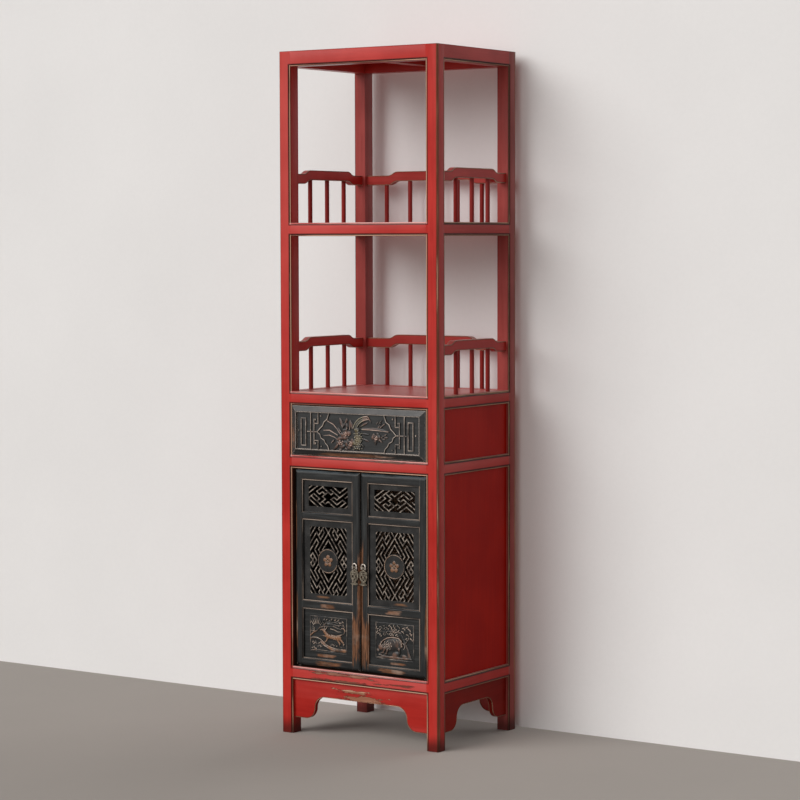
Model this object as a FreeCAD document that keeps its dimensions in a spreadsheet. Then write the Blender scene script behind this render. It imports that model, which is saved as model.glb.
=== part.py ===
import FreeCAD, Part
import math
import os
import Sketcher

from FreeCAD import Vector

# A tall book cabinet: two open bays with humpback galleries over a drawer and a two-door
# cupboard. The origin is on the floor in the middle of the width and of the depth, +Z is
# up, the doors face -Y, and every length is in millimetres.

SIZES = {
    # Whole cabinet
    "wide": 500.0,
    "deep": 380.0,
    "tall": 1810.0,
    # Frame of posts and rails
    "post": 36.0,
    "post_round": 5.0,
    "rail": 35.0,
    "top_rail": 40.0,
    "foot": 146.0,
    "cupboard_open": 530.0,
    "drawer_open": 134.0,
    "tenon_set": 9.0,
    "tenon_thick": 10.0,
    "tenon_clear": 1.0,
    "overrun": 1.0,
    # Bead along every opening of the frame
    "bead_wide": 4.0,
    "bead_deep": 3.0,
    "bead_groove": 0.6,
    "arris": 1.5,
    # Panels and the grooves that hold them
    "tongue": 6.0,
    "tongue_thick": 5.0,
    "tongue_drop": 4.0,
    "shelf_thick": 12.0,
    "shelf_sink": 1.0,
    "panel_thick": 10.0,
    "panel_recess": 8.0,
    "batten_wide": 34.0,
    "batten_high": 18.0,
    # Aprons between the feet
    "apron_thick": 12.0,
    "apron_drop": 42.0,
    "apron_curve": 30.5,
    "ear_wide": 67.0,
    # Galleries round the two open bays
    "gallery_up": 130.0,
    "gallery_high": 26.0,
    "gallery_thick": 18.0,
    "gallery_hump": 10.5,
    "spindle": 12.0,
    "spindle_tenon": 8.0,
    "spindle_seat": 7.0,
    "glue_gap": 0.1,
    # Drawer
    "drawer_gap": 2.0,
    "drawer_proud": 6.0,
    "drawer_front": 24.0,
    "drawer_border": 16.0,
    "drawer_slope_wide": 14.0,
    "drawer_slope_deep": 7.0,
    "drawer_field": 6.0,
    "drawer_side": 10.0,
    "drawer_side_drop": 8.0,
    "drawer_back_set": 5.0,
    "drawer_lap": 8.0,
    "drawer_bottom": 6.0,
    "drawer_bottom_up": 5.0,
    "drawer_groove": 4.0,
    "slide_gap": 0.3,
    "stop_gap": 0.5,
    "runner_wide": 18.0,
    "runner_high": 20.0,
    # Doors
    "inset": 9.0,
    "door_thick": 20.0,
    "door_side_gap": 3.5,
    "door_meet_gap": 3.0,
    "door_foot_gap": 3.0,
    "door_head_gap": 4.0,
    "stile": 25.5,
    "door_bottom_rail": 23.0,
    "carved_open": 129.5,
    "lower_mid_rail": 25.5,
    "upper_mid_rail": 22.5,
    "small_open": 83.0,
    "door_top_rail": 27.0,
    "door_tenon": 7.0,
    "door_tenon_long": 12.0,
    "edge_wide": 9.0,
    "edge_deep": 5.0,
    "door_bead_wide": 3.5,
    "door_bead_deep": 2.5,
    "door_bead_groove": 0.5,
    "door_arris": 1.0,
    "door_panel": 8.0,
    "door_panel_recess": 6.0,
    "door_tongue": 5.0,
    # Wooden pivots of the doors
    "pivot": 10.0,
    "pivot_set": 9.5,
    "pivot_seat": 12.0,
    "pivot_clear": 0.05,
    "pivot_end_gap": 0.3,
    # Pierced lattices
    "small_window_side": 15.5,
    "small_window_end": 14.0,
    "tall_window_side": 20.0,
    "tall_window_end": 17.0,
    "fret_bar": 3.4,
    "medallion_raise": 1.5,
    # Hanging pulls
    "pull_up": 279.0,
    "eye_wide": 12.0,
    "eye_wire": 4.4,
    "eye_leg": 7.0,
    "eye_stand": 4.5,
    "prong": 3.6,
    "prong_seat": 5.0,
    "pin_drop": 4.0,
    "pin": 2.4,
    "pin_clear": 0.06,
    "lug": 6.4,
    "lug_wide": 6.0,
    "pull_wide": 25.0,
    "pull_long": 46.0,
    "pull_thick": 2.0,
}

# Where the gallery rails climb, as shares of the clear length between the posts
SIDE_LOW_SHARE = 0.123
SIDE_CLIMB_SHARE = 0.104
BACK_LOW_SHARE = 0.159
BACK_CLIMB_SHARE = 0.080

# Where the spindles stand, as shares of the clear length between the posts
SIDE_SPINDLE_SHARES = (0.25, 0.5, 0.75)
BACK_SPINDLE_SHARES = (0.14, 0.32, 0.5, 0.68, 0.86)

# Half of the hanging plate from its pin down: shares of the half width and of the length.
# Each side is a line to its end point, or an arc through a middle point to its end point.
PULL_SIDE_SHARES = (
    ((0.24, 0.14),),
    ((0.76, 0.20), (1.00, 0.42)),
    ((0.90, 0.60), (0.42, 0.79)),
    ((0.55, 0.88), (1.00, 0.92)),
    ((0.60, 0.985), (0.00, 1.00)),
)
# Piercings of the plate: across, down, half width and half height as the same shares
PULL_HOLE_SHARES = (
    (0.00, 0.225, 0.12, 0.030),
    (0.00, 0.350, 0.14, 0.042),
    (0.42, 0.520, 0.19, 0.082),
    (0.00, 0.700, 0.15, 0.045),
)

# Steps of the frets' slanting grids, as shares of the window across and up
TALL_STEP_SHARES = (0.0542, 0.0524)
SMALL_STEP_SHARES = (0.0736, 0.1164)

# The medallion's diameter covers the larger of these shares of the tall window, across and up,
# so that every bar that ends behind it still reaches it
MEDALLION_SHARES = (0.5593, 0.3697)

# Bars of the frets as paths over the nodes of the grid, counted in whole steps from the
# middle of the window. The tall fret is one quarter, mirrored both ways.
TALL_FRET_SHARES = (
    ((-2, 9), (1, 9)),
    ((-3, 8), (2, 8)),
    ((-3, 7), (1, 7), (1, 6), (2, 6), (2, 7), (4, 7)),
    ((2, 6), (5, 6)),
    ((-4, 6), (0, 6), (0, 5), (-2, 5), (-2, 3)),
    ((1, 6), (1, 5), (3, 5), (3, 6)),
    ((-1, 3), (-1, 4), (4, 4), (4, 6)),
    ((0, 3), (3, 3)),
    ((-4, 6), (-4, 4), (-3, 4), (-3, 3)),
    ((-6, 5), (-3, 5), (-3, 4)),
)
SMALL_FRET_SHARES = (
    ((-2, 5), (1, 5)),
    ((-4, 4), (2, 4)),
    ((-5, 3), (-2, 3), (-2, 1), (-3, 1)),
    ((-3, 3), (-3, -2)),
    ((-4, 4), (-4, -2)),
    ((-1, 3), (3, 3)),
    ((-1, 3), (-1, 2), (0, 2), (0, 1)),
    ((-3, 0), (-1, 0), (-1, 1), (1, 1), (1, 0), (2, 0)),
    ((-2, 0), (-2, -1), (-1, -1), (-1, -4)),
    ((1, 1), (1, 3)),
    ((2, 1), (2, -2), (6, -2)),
    ((3, 3), (3, -1), (6, -1)),
    ((0, -3), (2, -3), (2, -4), (-1, -4)),
    ((0, -1), (0, -3)),
    ((0, -1), (1, -1), (1, -2), (2, -2)),
    ((0, -5), (3, -5)),
    ((3, -3), (6, -3)),
)
FRET_REACH = 12
LEAST_GAP_SHARE = 0.06


class Size:
    """A length in millimetres and the sheet expression that gives it."""

    def __init__(self, value, text):
        self.value = float(value)
        self.text = text

    def __add__(self, other):
        other = as_size(other)
        return Size(self.value + other.value, f"({self.text} + {other.text})")

    def __sub__(self, other):
        other = as_size(other)
        return Size(self.value - other.value, f"({self.text} - {other.text})")

    def __mul__(self, other):
        other = as_size(other)
        return Size(self.value * other.value, f"({self.text} * {other.text})")

    def __truediv__(self, other):
        other = as_size(other)
        return Size(self.value / other.value, f"({self.text} / {other.text})")

    def __rsub__(self, other):
        return as_size(other) - self

    def __neg__(self):
        return self * -1

    __radd__ = __add__
    __rmul__ = __mul__


def as_size(number):
    """Give a plain number the form of a Size."""
    if isinstance(number, Size):
        return number
    return Size(number, f"({number})")


doc = FreeCAD.newDocument("book_cabinet")
sheet = doc.addObject("Spreadsheet::Sheet", "Sizes")
size = {}
for row, (alias, number) in enumerate(SIZES.items(), start=1):
    sheet.set(f"A{row}", alias)
    sheet.set(f"B{row}", str(number))
    sheet.setAlias(f"B{row}", alias)
    size[alias] = Size(number, f"Sizes.{alias}")
doc.recompute()

ZERO = as_size(0)


def bind(item, prop, length):
    """Tie one property of an object to the sheet."""
    item.setExpression(prop, as_size(length).text)


# The drawer front stands proud of the frame, so the frame sits half of that further back
centring = size["drawer_proud"] / 2


def place(item, at):
    """Tie an object's position to the sheet, measured from the middle of the frame."""
    bind(item, "Placement.Base.x", at[0])
    bind(item, "Placement.Base.y", centring + at[1])
    bind(item, "Placement.Base.z", at[2])


def box(name, low, high):
    """Make a block between two opposite corners."""
    block = doc.addObject("Part::Box", name)
    for prop, start, end in zip(("Length", "Width", "Height"), low, high):
        bind(block, prop, as_size(end) - start)
    place(block, low)
    return block


def span(first, second):
    """Put two lengths in rising order."""
    first, second = as_size(first), as_size(second)
    return (first, second) if first.value <= second.value else (second, first)


def block_between(name, x_ends, y_ends, z_ends):
    """Make a block from its ends along each axis, given in any order."""
    ends = [span(*pair) for pair in (x_ends, y_ends, z_ends)]
    return box(name, [pair[0] for pair in ends], [pair[1] for pair in ends])


AXIS_TURNS = {
    "x": FreeCAD.Rotation(Vector(0, 1, 0), 90),
    "y": FreeCAD.Rotation(Vector(1, 0, 0), -90),
    "z": FreeCAD.Rotation(),
}


def rod(name, axis, at, radius, length):
    """Make a cylinder that starts at a point and runs along +X, +Y or +Z."""
    item = doc.addObject("Part::Cylinder", name)
    item.Placement.Rotation = AXIS_TURNS[axis]
    bind(item, "Radius", radius)
    bind(item, "Height", length)
    place(item, at)
    return item


def draw_outline(sketch, corners):
    """Draw a closed outline whose corners follow the sheet.

    A corner (x, y) starts a straight side. A corner (x, y, centre x, centre y, turn)
    starts an arc, anticlockwise for a turn of 1 and clockwise for -1.
    """
    sides = []
    for index, corner in enumerate(corners):
        following = corners[(index + 1) % len(corners)]
        start = Vector(as_size(corner[0]).value, as_size(corner[1]).value, 0)
        end = Vector(as_size(following[0]).value, as_size(following[1]).value, 0)
        if len(corner) == 2:
            sides.append((sketch.addGeometry(Part.LineSegment(start, end)), 1, 2))
            continue
        centre = Vector(as_size(corner[2]).value, as_size(corner[3]).value, 0)
        first, last = (start, end) if corner[4] > 0 else (end, start)
        angles = [math.atan2(point.y - centre.y, point.x - centre.x) for point in (first, last)]
        if angles[1] <= angles[0]:
            angles[1] += 2 * math.pi
        circle = Part.Circle(centre, Vector(0, 0, 1), (start - centre).Length)
        arc = sketch.addGeometry(Part.ArcOfCircle(circle, *angles))
        sides.append((arc, 1, 2) if corner[4] > 0 else (arc, 2, 1))
    for index, corner in enumerate(corners):
        side, begin, finish = sides[index]
        follower, follower_begin, _ = sides[(index + 1) % len(sides)]
        sketch.addConstraint(Sketcher.Constraint("Coincident", side, finish, follower, follower_begin))
        fix_point(sketch, side, begin, "X", corner[0])
        fix_point(sketch, side, begin, "Y", corner[1])
        if len(corner) == 5:
            following = corners[(index + 1) % len(corners)]
            run = abs(as_size(following[0]).value - as_size(corner[0]).value)
            climb = abs(as_size(following[1]).value - as_size(corner[1]).value)
            if run >= climb:
                fix_point(sketch, side, 3, "Y", corner[3])
            else:
                fix_point(sketch, side, 3, "X", corner[2])


def fix_point(sketch, side, point, axis, length):
    """Hold one coordinate of a sketch point at a length from the sheet."""
    length = as_size(length)
    held = Sketcher.Constraint(f"Distance{axis}", -1, 1, side, point, length.value)
    sketch.setExpression(f"Constraints[{sketch.addConstraint(held)}]", length.text)


def body_plane(body, role):
    """Find one of a body's own origin planes."""
    return [plane for plane in body.Origin.OriginFeatures if plane.Role == role][0]


def slab(name, plane, corners, low, thick):
    """Pad an outline on a body's XY, XZ or YZ plane, from a level along the third axis."""
    body = doc.addObject("PartDesign::Body", name)
    sketch = body.newObject("Sketcher::SketchObject", f"{name}_outline")
    sketch.AttachmentSupport = (body_plane(body, f"{plane}_Plane"), [""])
    sketch.MapMode = "FlatFace"
    draw_outline(sketch, corners)
    pad = body.newObject("PartDesign::Pad", f"{name}_pad")
    pad.Profile = sketch
    bind(pad, "Length", thick)
    sketch.Visibility = False
    base = {"XY": (ZERO, ZERO, low), "XZ": (ZERO, low + thick, ZERO), "YZ": (low, ZERO, ZERO)}
    place(body, base[plane])
    return body


def profile(name, corners):
    """Draw a moulding's section: across from the opening's edge, and down from the face."""
    sketch = doc.addObject("Sketcher::SketchObject", name)
    draw_outline(sketch, corners)
    return sketch


def run(name, section, low, high, across, depth):
    """Run a moulding's section between two points along its edge."""
    along = Vector(*across).cross(Vector(*depth))
    start = low if along.x + along.y + along.z > 0 else high
    length = (high[0] - low[0]) + (high[1] - low[1]) + (high[2] - low[2])
    item = doc.addObject("Part::Extrusion", name)
    item.Base = section
    item.DirMode = "Custom"
    item.Dir = Vector(0, 0, 1)
    item.Solid = True
    bind(item, "LengthFwd", length)
    item.Placement.Rotation = FreeCAD.Rotation(Vector(*across), Vector(*depth), along)
    place(item, start)
    return item


def joined(name, items):
    """Join several solids, or give back the only one."""
    if len(items) == 1:
        return items[0]
    item = doc.addObject("Part::MultiFuse", name)
    item.Shapes = items
    return item


class Piece:
    """One board or fitting: solids that are joined, less the solids that are cut away."""

    def __init__(self, name, *solids):
        self.name = name
        self.solids = list(solids)
        self.cuts = []

    def cut(self, *tools):
        """Take tools away from the piece when it is finished."""
        self.cuts.extend(tools)

    def finish(self):
        """Make the object that holds the finished piece."""
        item = joined(f"{self.name}_stock", self.solids)
        if not self.cuts:
            return item
        result = doc.addObject("Part::Cut", f"{self.name}_cut")
        result.Base = item
        result.Tool = joined(f"{self.name}_tools", self.cuts)
        return result


pieces = {}


def piece(name, *solids):
    """Start a piece and keep it by its name."""
    pieces[name] = Piece(name, *solids)
    return pieces[name]


# Levels from the floor up
half_wide = size["wide"] / 2
half_deep = size["deep"] / 2
clear_wide = half_wide - size["post"]
clear_deep = half_deep - size["post"]
bottom_low = size["foot"]
bottom_high = bottom_low + size["rail"]
waist_low = bottom_high + size["cupboard_open"]
waist_high = waist_low + size["rail"]
lower_low = waist_high + size["drawer_open"]
lower_high = lower_low + size["rail"]
top_low = size["tall"] - size["top_rail"]
top_high = size["tall"]
bay = (top_low - lower_high - size["rail"]) / 2
upper_low = lower_high + bay
upper_high = upper_low + size["rail"]
LEVELS = {
    "bottom": (bottom_low, bottom_high),
    "waist": (waist_low, waist_high),
    "lower_shelf": (lower_low, lower_high),
    "upper_shelf": (upper_low, upper_high),
    "top": (top_low, top_high),
}
OPENINGS = (
    (ZERO, bottom_low),
    (bottom_high, waist_low),
    (waist_high, lower_low),
    (lower_high, upper_low),
    (upper_high, top_low),
)
SIDES = {"left": -1, "right": 1}
ENDS = {"front": -1, "back": 1}


def bead_section(name, wide, deep, groove, arris):
    """Draw what is cut away beside an opening: a step that leaves a half-round bead."""
    over = size["overrun"]
    radius = (wide - groove) / 2
    return profile(name, (
        (-over, -over),
        (wide + arris, -over),
        (wide + arris, ZERO, wide + arris, arris, -1),
        (wide, arris),
        (wide, deep),
        (wide - groove, deep, radius, deep, -1),
        (ZERO, deep),
        (-over, deep),
    ))


def edge_section(name, wide, deep):
    """Draw what is cut away to ease an outer edge with a quarter cushion."""
    over = size["overrun"]
    radius = (wide * wide + deep * deep) / (deep * 2)
    return profile(name, (
        (-over, -over),
        (wide, -over),
        (wide, ZERO, wide, radius, -1),
        (ZERO, deep),
        (-over, deep),
    ))


frame_bead = bead_section(
    "frame_bead_section", size["bead_wide"], size["bead_deep"], size["bead_groove"], size["arris"]
)
door_bead = bead_section(
    "door_bead_section", size["door_bead_wide"], size["door_bead_deep"],
    size["door_bead_groove"], size["door_arris"]
)
cushion_edge = edge_section("cushion_edge_section", size["edge_wide"], size["edge_deep"])
drawer_slope = profile("drawer_slope_section", (
    (-size["overrun"], -size["overrun"]),
    (size["drawer_slope_wide"], -size["overrun"]),
    (size["drawer_slope_wide"], ZERO),
    (ZERO, size["drawer_slope_deep"]),
    (-size["overrun"], size["drawer_slope_deep"]),
))


def make_posts():
    """Four square posts, rounded at the outer corner, with a bead beside every opening."""
    for end, end_sign in ENDS.items():
        for side, side_sign in SIDES.items():
            name = f"{end}_{side}_post"
            x_in, x_out = clear_wide * side_sign, half_wide * side_sign
            y_in, y_out = clear_deep * end_sign, half_deep * end_sign
            x_round = x_out - size["post_round"] * side_sign
            y_round = y_out - size["post_round"] * end_sign
            corners = (
                (x_in, y_in),
                (x_out, y_in),
                (x_out, y_round, x_round, y_round, side_sign * end_sign),
                (x_round, y_out),
                (x_in, y_out),
            )
            post = piece(name, slab(f"{name}_shaft", "XY", corners, ZERO, size["tall"]))
            for number, (low, high) in enumerate(OPENINGS):
                low = low - (size["overrun"] if number == 0 else size["bead_wide"])
                high = high + size["bead_wide"]
                if end_sign < 0:
                    post.cut(run(
                        f"{name}_front_bead_{number}", frame_bead,
                        (x_in, y_out, low), (x_in, y_out, high), (side_sign, 0, 0), (0, 1, 0)
                    ))
                post.cut(run(
                    f"{name}_side_bead_{number}", frame_bead,
                    (x_out, y_in, low), (x_out, y_in, high), (0, end_sign, 0), (-side_sign, 0, 0)
                ))


def make_cross_rails():
    """A front and a back rail at each level, tenoned into the posts."""
    tenon_long = size["post"] - size["tenon_set"] - size["tenon_thick"] - size["tenon_clear"]
    shoulder = size["tongue"] + size["tenon_clear"]
    for level, (low, high) in LEVELS.items():
        for end, sign in ENDS.items():
            name = f"{level}_{end}_rail"
            y_out = half_deep * sign
            rail = piece(name, block_between(
                f"{name}_bar", (-clear_wide, clear_wide), (clear_deep * sign, y_out), (low, high)
            ))
            y_tenon = y_out - size["tenon_set"] * sign
            for side, side_sign in SIDES.items():
                tenon = block_between(
                    f"{name}_{side}_tenon",
                    (clear_wide * side_sign, (clear_wide + tenon_long) * side_sign),
                    (y_tenon, y_tenon - size["tenon_thick"] * sign),
                    (low + shoulder, high - shoulder),
                )
                rail.solids.append(tenon)
                pieces[f"{end}_{side}_post"].cut(tenon)
            if sign > 0:
                continue
            rail.cut(run(
                f"{name}_lower_bead", frame_bead, (-clear_wide, y_out, low), (clear_wide, y_out, low),
                (0, 0, 1), (0, 1, 0)
            ))
            if level != "top":
                rail.cut(run(
                    f"{name}_upper_bead", frame_bead,
                    (-clear_wide, y_out, high), (clear_wide, y_out, high), (0, 0, -1), (0, 1, 0)
                ))


def make_side_rails():
    """A left and a right rail at each level, tenoned into the posts."""
    tenon_long = size["post"] - size["tenon_set"] - size["tenon_thick"] - size["tenon_clear"]
    shoulder = size["tongue"] + size["tenon_clear"]
    for level, (low, high) in LEVELS.items():
        for side, sign in SIDES.items():
            name = f"{level}_{side}_rail"
            x_out = half_wide * sign
            rail = piece(name, block_between(
                f"{name}_bar", (clear_wide * sign, x_out), (-clear_deep, clear_deep), (low, high)
            ))
            x_tenon = x_out - size["tenon_set"] * sign
            for end, end_sign in ENDS.items():
                tenon = block_between(
                    f"{name}_{end}_tenon",
                    (x_tenon, x_tenon - size["tenon_thick"] * sign),
                    (clear_deep * end_sign, (clear_deep + tenon_long) * end_sign),
                    (low + shoulder, high - shoulder),
                )
                rail.solids.append(tenon)
                pieces[f"{end}_{side}_post"].cut(tenon)
            rail.cut(run(
                f"{name}_lower_bead", frame_bead, (x_out, -clear_deep, low), (x_out, clear_deep, low),
                (0, 0, 1), (-sign, 0, 0)
            ))
            if level != "top":
                rail.cut(run(
                    f"{name}_upper_bead", frame_bead,
                    (x_out, -clear_deep, high), (x_out, clear_deep, high), (0, 0, -1), (-sign, 0, 0)
                ))


def posts():
    """Give the four posts."""
    return [pieces[f"{end}_{side}_post"] for end in ENDS for side in SIDES]


def ring(level):
    """Give the four rails of a level."""
    return [pieces[f"{level}_{name}_rail"] for name in ("front", "back", "left", "right")]


def make_shelves():
    """Floating boards in the rings of rails, each with a batten underneath."""
    boards = {
        "bottom": ("cupboard_floor", "floor_batten", size["shelf_sink"]),
        "lower_shelf": ("lower_shelf_panel", "lower_shelf_batten", size["shelf_sink"]),
        "upper_shelf": ("upper_shelf_panel", "upper_shelf_batten", size["shelf_sink"]),
        "top": ("top_panel", "top_batten", ZERO),
    }
    for level, (name, batten_name, sink) in boards.items():
        high = LEVELS[level][1] - sink
        under = high - size["shelf_thick"]
        board = block_between(
            f"{name}_board", (-clear_wide, clear_wide), (-clear_deep, clear_deep), (under, high)
        )
        reach_x, reach_y = clear_wide + size["tongue"], clear_deep + size["tongue"]
        tongue_high = high - size["tongue_drop"]
        tongue = block_between(
            f"{name}_tongue", (-reach_x, reach_x), (-reach_y, reach_y),
            (tongue_high - size["tongue_thick"], tongue_high)
        )
        piece(name, board, tongue)
        half_batten = size["batten_wide"] / 2
        batten = block_between(
            f"{batten_name}_bar", (-half_batten, half_batten), (-reach_y, reach_y),
            (under - size["batten_high"], under)
        )
        piece(batten_name, batten)
        for holder in posts() + ring(level):
            holder.cut(tongue)
        for end in ENDS:
            pieces[f"{level}_{end}_rail"].cut(batten)


def make_wall_panels():
    """Side and back panels round the drawer and the cupboard, held in grooves."""
    walls = {
        "drawer": (waist_high, lower_low, "waist", "lower_shelf"),
        "cupboard": (bottom_high, waist_low, "bottom", "waist"),
    }
    for room, (low, high, below, above) in walls.items():
        z_ends = (low - size["tongue"], high + size["tongue"])
        for side, sign in SIDES.items():
            name = f"{room}_{side}_panel"
            x_face = (half_wide - size["panel_recess"]) * sign
            panel = block_between(
                f"{name}_board", (x_face, x_face - size["panel_thick"] * sign),
                (-clear_deep - size["tongue"], clear_deep + size["tongue"]), z_ends
            )
            piece(name, panel)
            holders = [pieces[f"{end}_{side}_post"] for end in ENDS]
            holders += [pieces[f"{level}_{side}_rail"] for level in (below, above)]
            for holder in holders:
                holder.cut(panel)
        name = f"{room}_back_panel"
        y_face = half_deep - size["panel_recess"]
        panel = block_between(
            f"{name}_board", (-clear_wide - size["tongue"], clear_wide + size["tongue"]),
            (y_face, y_face - size["panel_thick"]), z_ends
        )
        piece(name, panel)
        holders = [pieces[f"back_{side}_post"] for side in SIDES]
        holders += [pieces[f"{level}_back_rail"] for level in (below, above)]
        for holder in holders:
            holder.cut(panel)


def apron_outline(clear):
    """Outline an apron: a straight middle that curves down to an ear at each post."""
    curve = size["apron_curve"]
    edge = bottom_low - size["apron_drop"]
    reach = clear + size["tongue"]
    top = bottom_low + size["tongue"]
    ear = clear - size["ear_wide"]
    foot = edge - curve * 2
    return (
        (reach, top),
        (-reach, top),
        (-reach, foot),
        (-ear - curve, foot, -ear - curve, foot + curve, 1),
        (-ear, foot + curve, curve - ear, foot + curve, -1),
        (curve - ear, edge),
        (ear - curve, edge, ear - curve, edge - curve, -1),
        (ear, edge - curve, ear + curve, edge - curve, 1),
        (ear + curve, foot),
        (reach, foot),
    )


def make_aprons():
    """Four shaped aprons set back from the faces of the posts."""
    for end, sign in ENDS.items():
        face = (half_deep - size["inset"]) * sign
        low = span(face, face - size["apron_thick"] * sign)[0]
        apron = slab(f"{end}_apron_board", "XZ", apron_outline(clear_wide), low, size["apron_thick"])
        piece(f"{end}_apron", apron)
        for holder in (f"{end}_left_post", f"{end}_right_post", f"bottom_{end}_rail"):
            pieces[holder].cut(apron)
    for side, sign in SIDES.items():
        face = (half_wide - size["inset"]) * sign
        low = span(face, face - size["apron_thick"] * sign)[0]
        apron = slab(f"{side}_apron_board", "YZ", apron_outline(clear_deep), low, size["apron_thick"])
        piece(f"{side}_apron", apron)
        for holder in (f"front_{side}_post", f"back_{side}_post", f"bottom_{side}_rail"):
            pieces[holder].cut(apron)


def gallery_outline(clear, low_share, climb_share, shelf):
    """Outline a humpback rail: level ends, and two tangent arcs up to a raised middle."""
    foot = shelf + size["gallery_up"] - size["gallery_high"]
    head = shelf + size["gallery_up"]
    hump = size["gallery_hump"]
    reach = clear + size["tongue"]
    climb = clear * 2 * climb_share
    start = clear - clear * 2 * low_share
    middle = start - climb / 2
    end = start - climb
    radius = (climb * climb + hump * hump) / (hump * 4)
    return (
        (reach, head),
        (start, head, start, head + radius, -1),
        (middle, head + hump / 2, end, head + hump - radius, 1),
        (end, head + hump),
        (-end, head + hump, -end, head + hump - radius, 1),
        (-middle, head + hump / 2, -start, head + radius, -1),
        (-start, head),
        (-reach, head),
        (-reach, foot),
        (-start, foot, -start, foot + radius, 1),
        (-middle, foot + hump / 2, -end, foot + hump - radius, -1),
        (-end, foot + hump),
        (end, foot + hump, end, foot + hump - radius, -1),
        (middle, foot + hump / 2, start, foot + radius, 1),
        (start, foot),
        (reach, foot),
    )


def make_spindle(name, x, y, foot, head, holders):
    """Stand one round spindle on a rail under a gallery rail, with a tenon at each end."""
    seat = size["spindle_seat"]
    shaft = rod(f"{name}_shaft", "z", (x, y, foot), size["spindle"] / 2, head - foot)
    tenon = rod(
        f"{name}_tenon", "z", (x, y, foot - seat), size["spindle_tenon"] / 2, head - foot + seat * 2
    )
    piece(name, shaft, tenon)
    gap = size["glue_gap"]
    socket = rod(
        f"{name}_socket", "z", (x, y, foot - seat - gap), size["spindle_tenon"] / 2 + gap,
        head - foot + (seat + gap) * 2
    )
    for holder in holders:
        pieces[holder].cut(socket)


def make_galleries():
    """A humpback rail over spindles at the left, right and back of each open bay."""
    centre = size["post"] / 2
    for shelf, level in (("lower", "lower_shelf"), ("upper", "upper_shelf")):
        floor = LEVELS[level][1]
        low_head = floor + size["gallery_up"] - size["gallery_high"]
        high_head = low_head + size["gallery_hump"]
        for side, sign in SIDES.items():
            name = f"{shelf}_{side}_gallery_rail"
            x = (half_wide - centre) * sign
            outline = gallery_outline(clear_deep, SIDE_LOW_SHARE, SIDE_CLIMB_SHARE, floor)
            rail = slab(f"{name}_bar", "YZ", outline, x - size["gallery_thick"] / 2,
                        size["gallery_thick"])
            piece(name, rail)
            for end in ENDS:
                pieces[f"{end}_{side}_post"].cut(rail)
            for number, share in enumerate(SIDE_SPINDLE_SHARES, start=1):
                y = clear_deep * 2 * share - clear_deep
                make_spindle(f"{shelf}_{side}_spindle_{number}", x, y, floor, high_head,
                             (name, f"{level}_{side}_rail"))
        name = f"{shelf}_back_gallery_rail"
        y = half_deep - centre
        outline = gallery_outline(clear_wide, BACK_LOW_SHARE, BACK_CLIMB_SHARE, floor)
        rail = slab(f"{name}_bar", "XZ", outline, y - size["gallery_thick"] / 2, size["gallery_thick"])
        piece(name, rail)
        for side in SIDES:
            pieces[f"back_{side}_post"].cut(rail)
        for number, share in enumerate(BACK_SPINDLE_SHARES, start=1):
            x = clear_wide * 2 * share - clear_wide
            level_end = share < BACK_LOW_SHARE or share > 1 - BACK_LOW_SHARE
            make_spindle(f"{shelf}_back_spindle_{number}", x, y, floor,
                         low_head if level_end else high_head, (name, f"{level}_back_rail"))


# Front faces of the doors and of the drawer, and the drawer's outside
front_face = size["inset"] - half_deep
drawer_face = -half_deep - size["drawer_proud"]
drawer_low = waist_high + size["drawer_gap"]
drawer_high = lower_low - size["drawer_gap"]
drawer_half = clear_wide - size["drawer_gap"]
drawer_end = half_deep - size["panel_recess"] - size["panel_thick"] - size["stop_gap"]


def make_drawer():
    """A drawer of five boards; the front has a sunk field inside a sloping border."""
    back_of_front = drawer_face + size["drawer_front"]
    front = piece("drawer_front", block_between(
        "drawer_front_board", (-drawer_half, drawer_half), (drawer_face, back_of_front),
        (drawer_low, drawer_high)
    ))
    border = size["drawer_border"]
    front.cut(block_between(
        "drawer_front_field", (border - drawer_half, drawer_half - border),
        (drawer_face - size["overrun"], drawer_face + size["drawer_field"]),
        (drawer_low + border, drawer_high - border)
    ))
    for name, z, turn in (("lower", drawer_low, 1), ("upper", drawer_high, -1)):
        front.cut(run(
            f"drawer_{name}_slope", drawer_slope, (-drawer_half, drawer_face, z),
            (drawer_half, drawer_face, z), (0, 0, turn), (0, 1, 0)
        ))
    for side, sign in SIDES.items():
        x = drawer_half * sign
        front.cut(run(
            f"drawer_{side}_slope", drawer_slope, (x, drawer_face, drawer_low),
            (x, drawer_face, drawer_high), (-sign, 0, 0), (0, 1, 0)
        ))
    side_high = drawer_high - size["drawer_side_drop"]
    inner = drawer_half - size["drawer_side"]
    bottom_under = drawer_low + size["drawer_bottom_up"]
    bottom_top = bottom_under + size["drawer_bottom"]
    groove = size["drawer_groove"]
    back_face = drawer_end - size["drawer_back_set"]
    bottom = piece("drawer_bottom", block_between(
        "drawer_bottom_board", (-inner - groove, inner + groove),
        (back_of_front - groove, back_face), (bottom_under, bottom_top)
    ))
    back = piece("drawer_back", block_between(
        "drawer_back_board", (-inner - groove, inner + groove),
        (back_face - size["drawer_side"], back_face), (bottom_top, side_high)
    ))
    front.cut(bottom.solids[0])
    for side, sign in SIDES.items():
        name = f"drawer_{side}_side"
        board = block_between(
            f"{name}_board", (inner * sign, drawer_half * sign),
            (back_of_front - size["drawer_lap"], drawer_end), (drawer_low, side_high)
        )
        piece(name, board).cut(bottom.solids[0], back.solids[0])
        front.cut(board)


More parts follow.
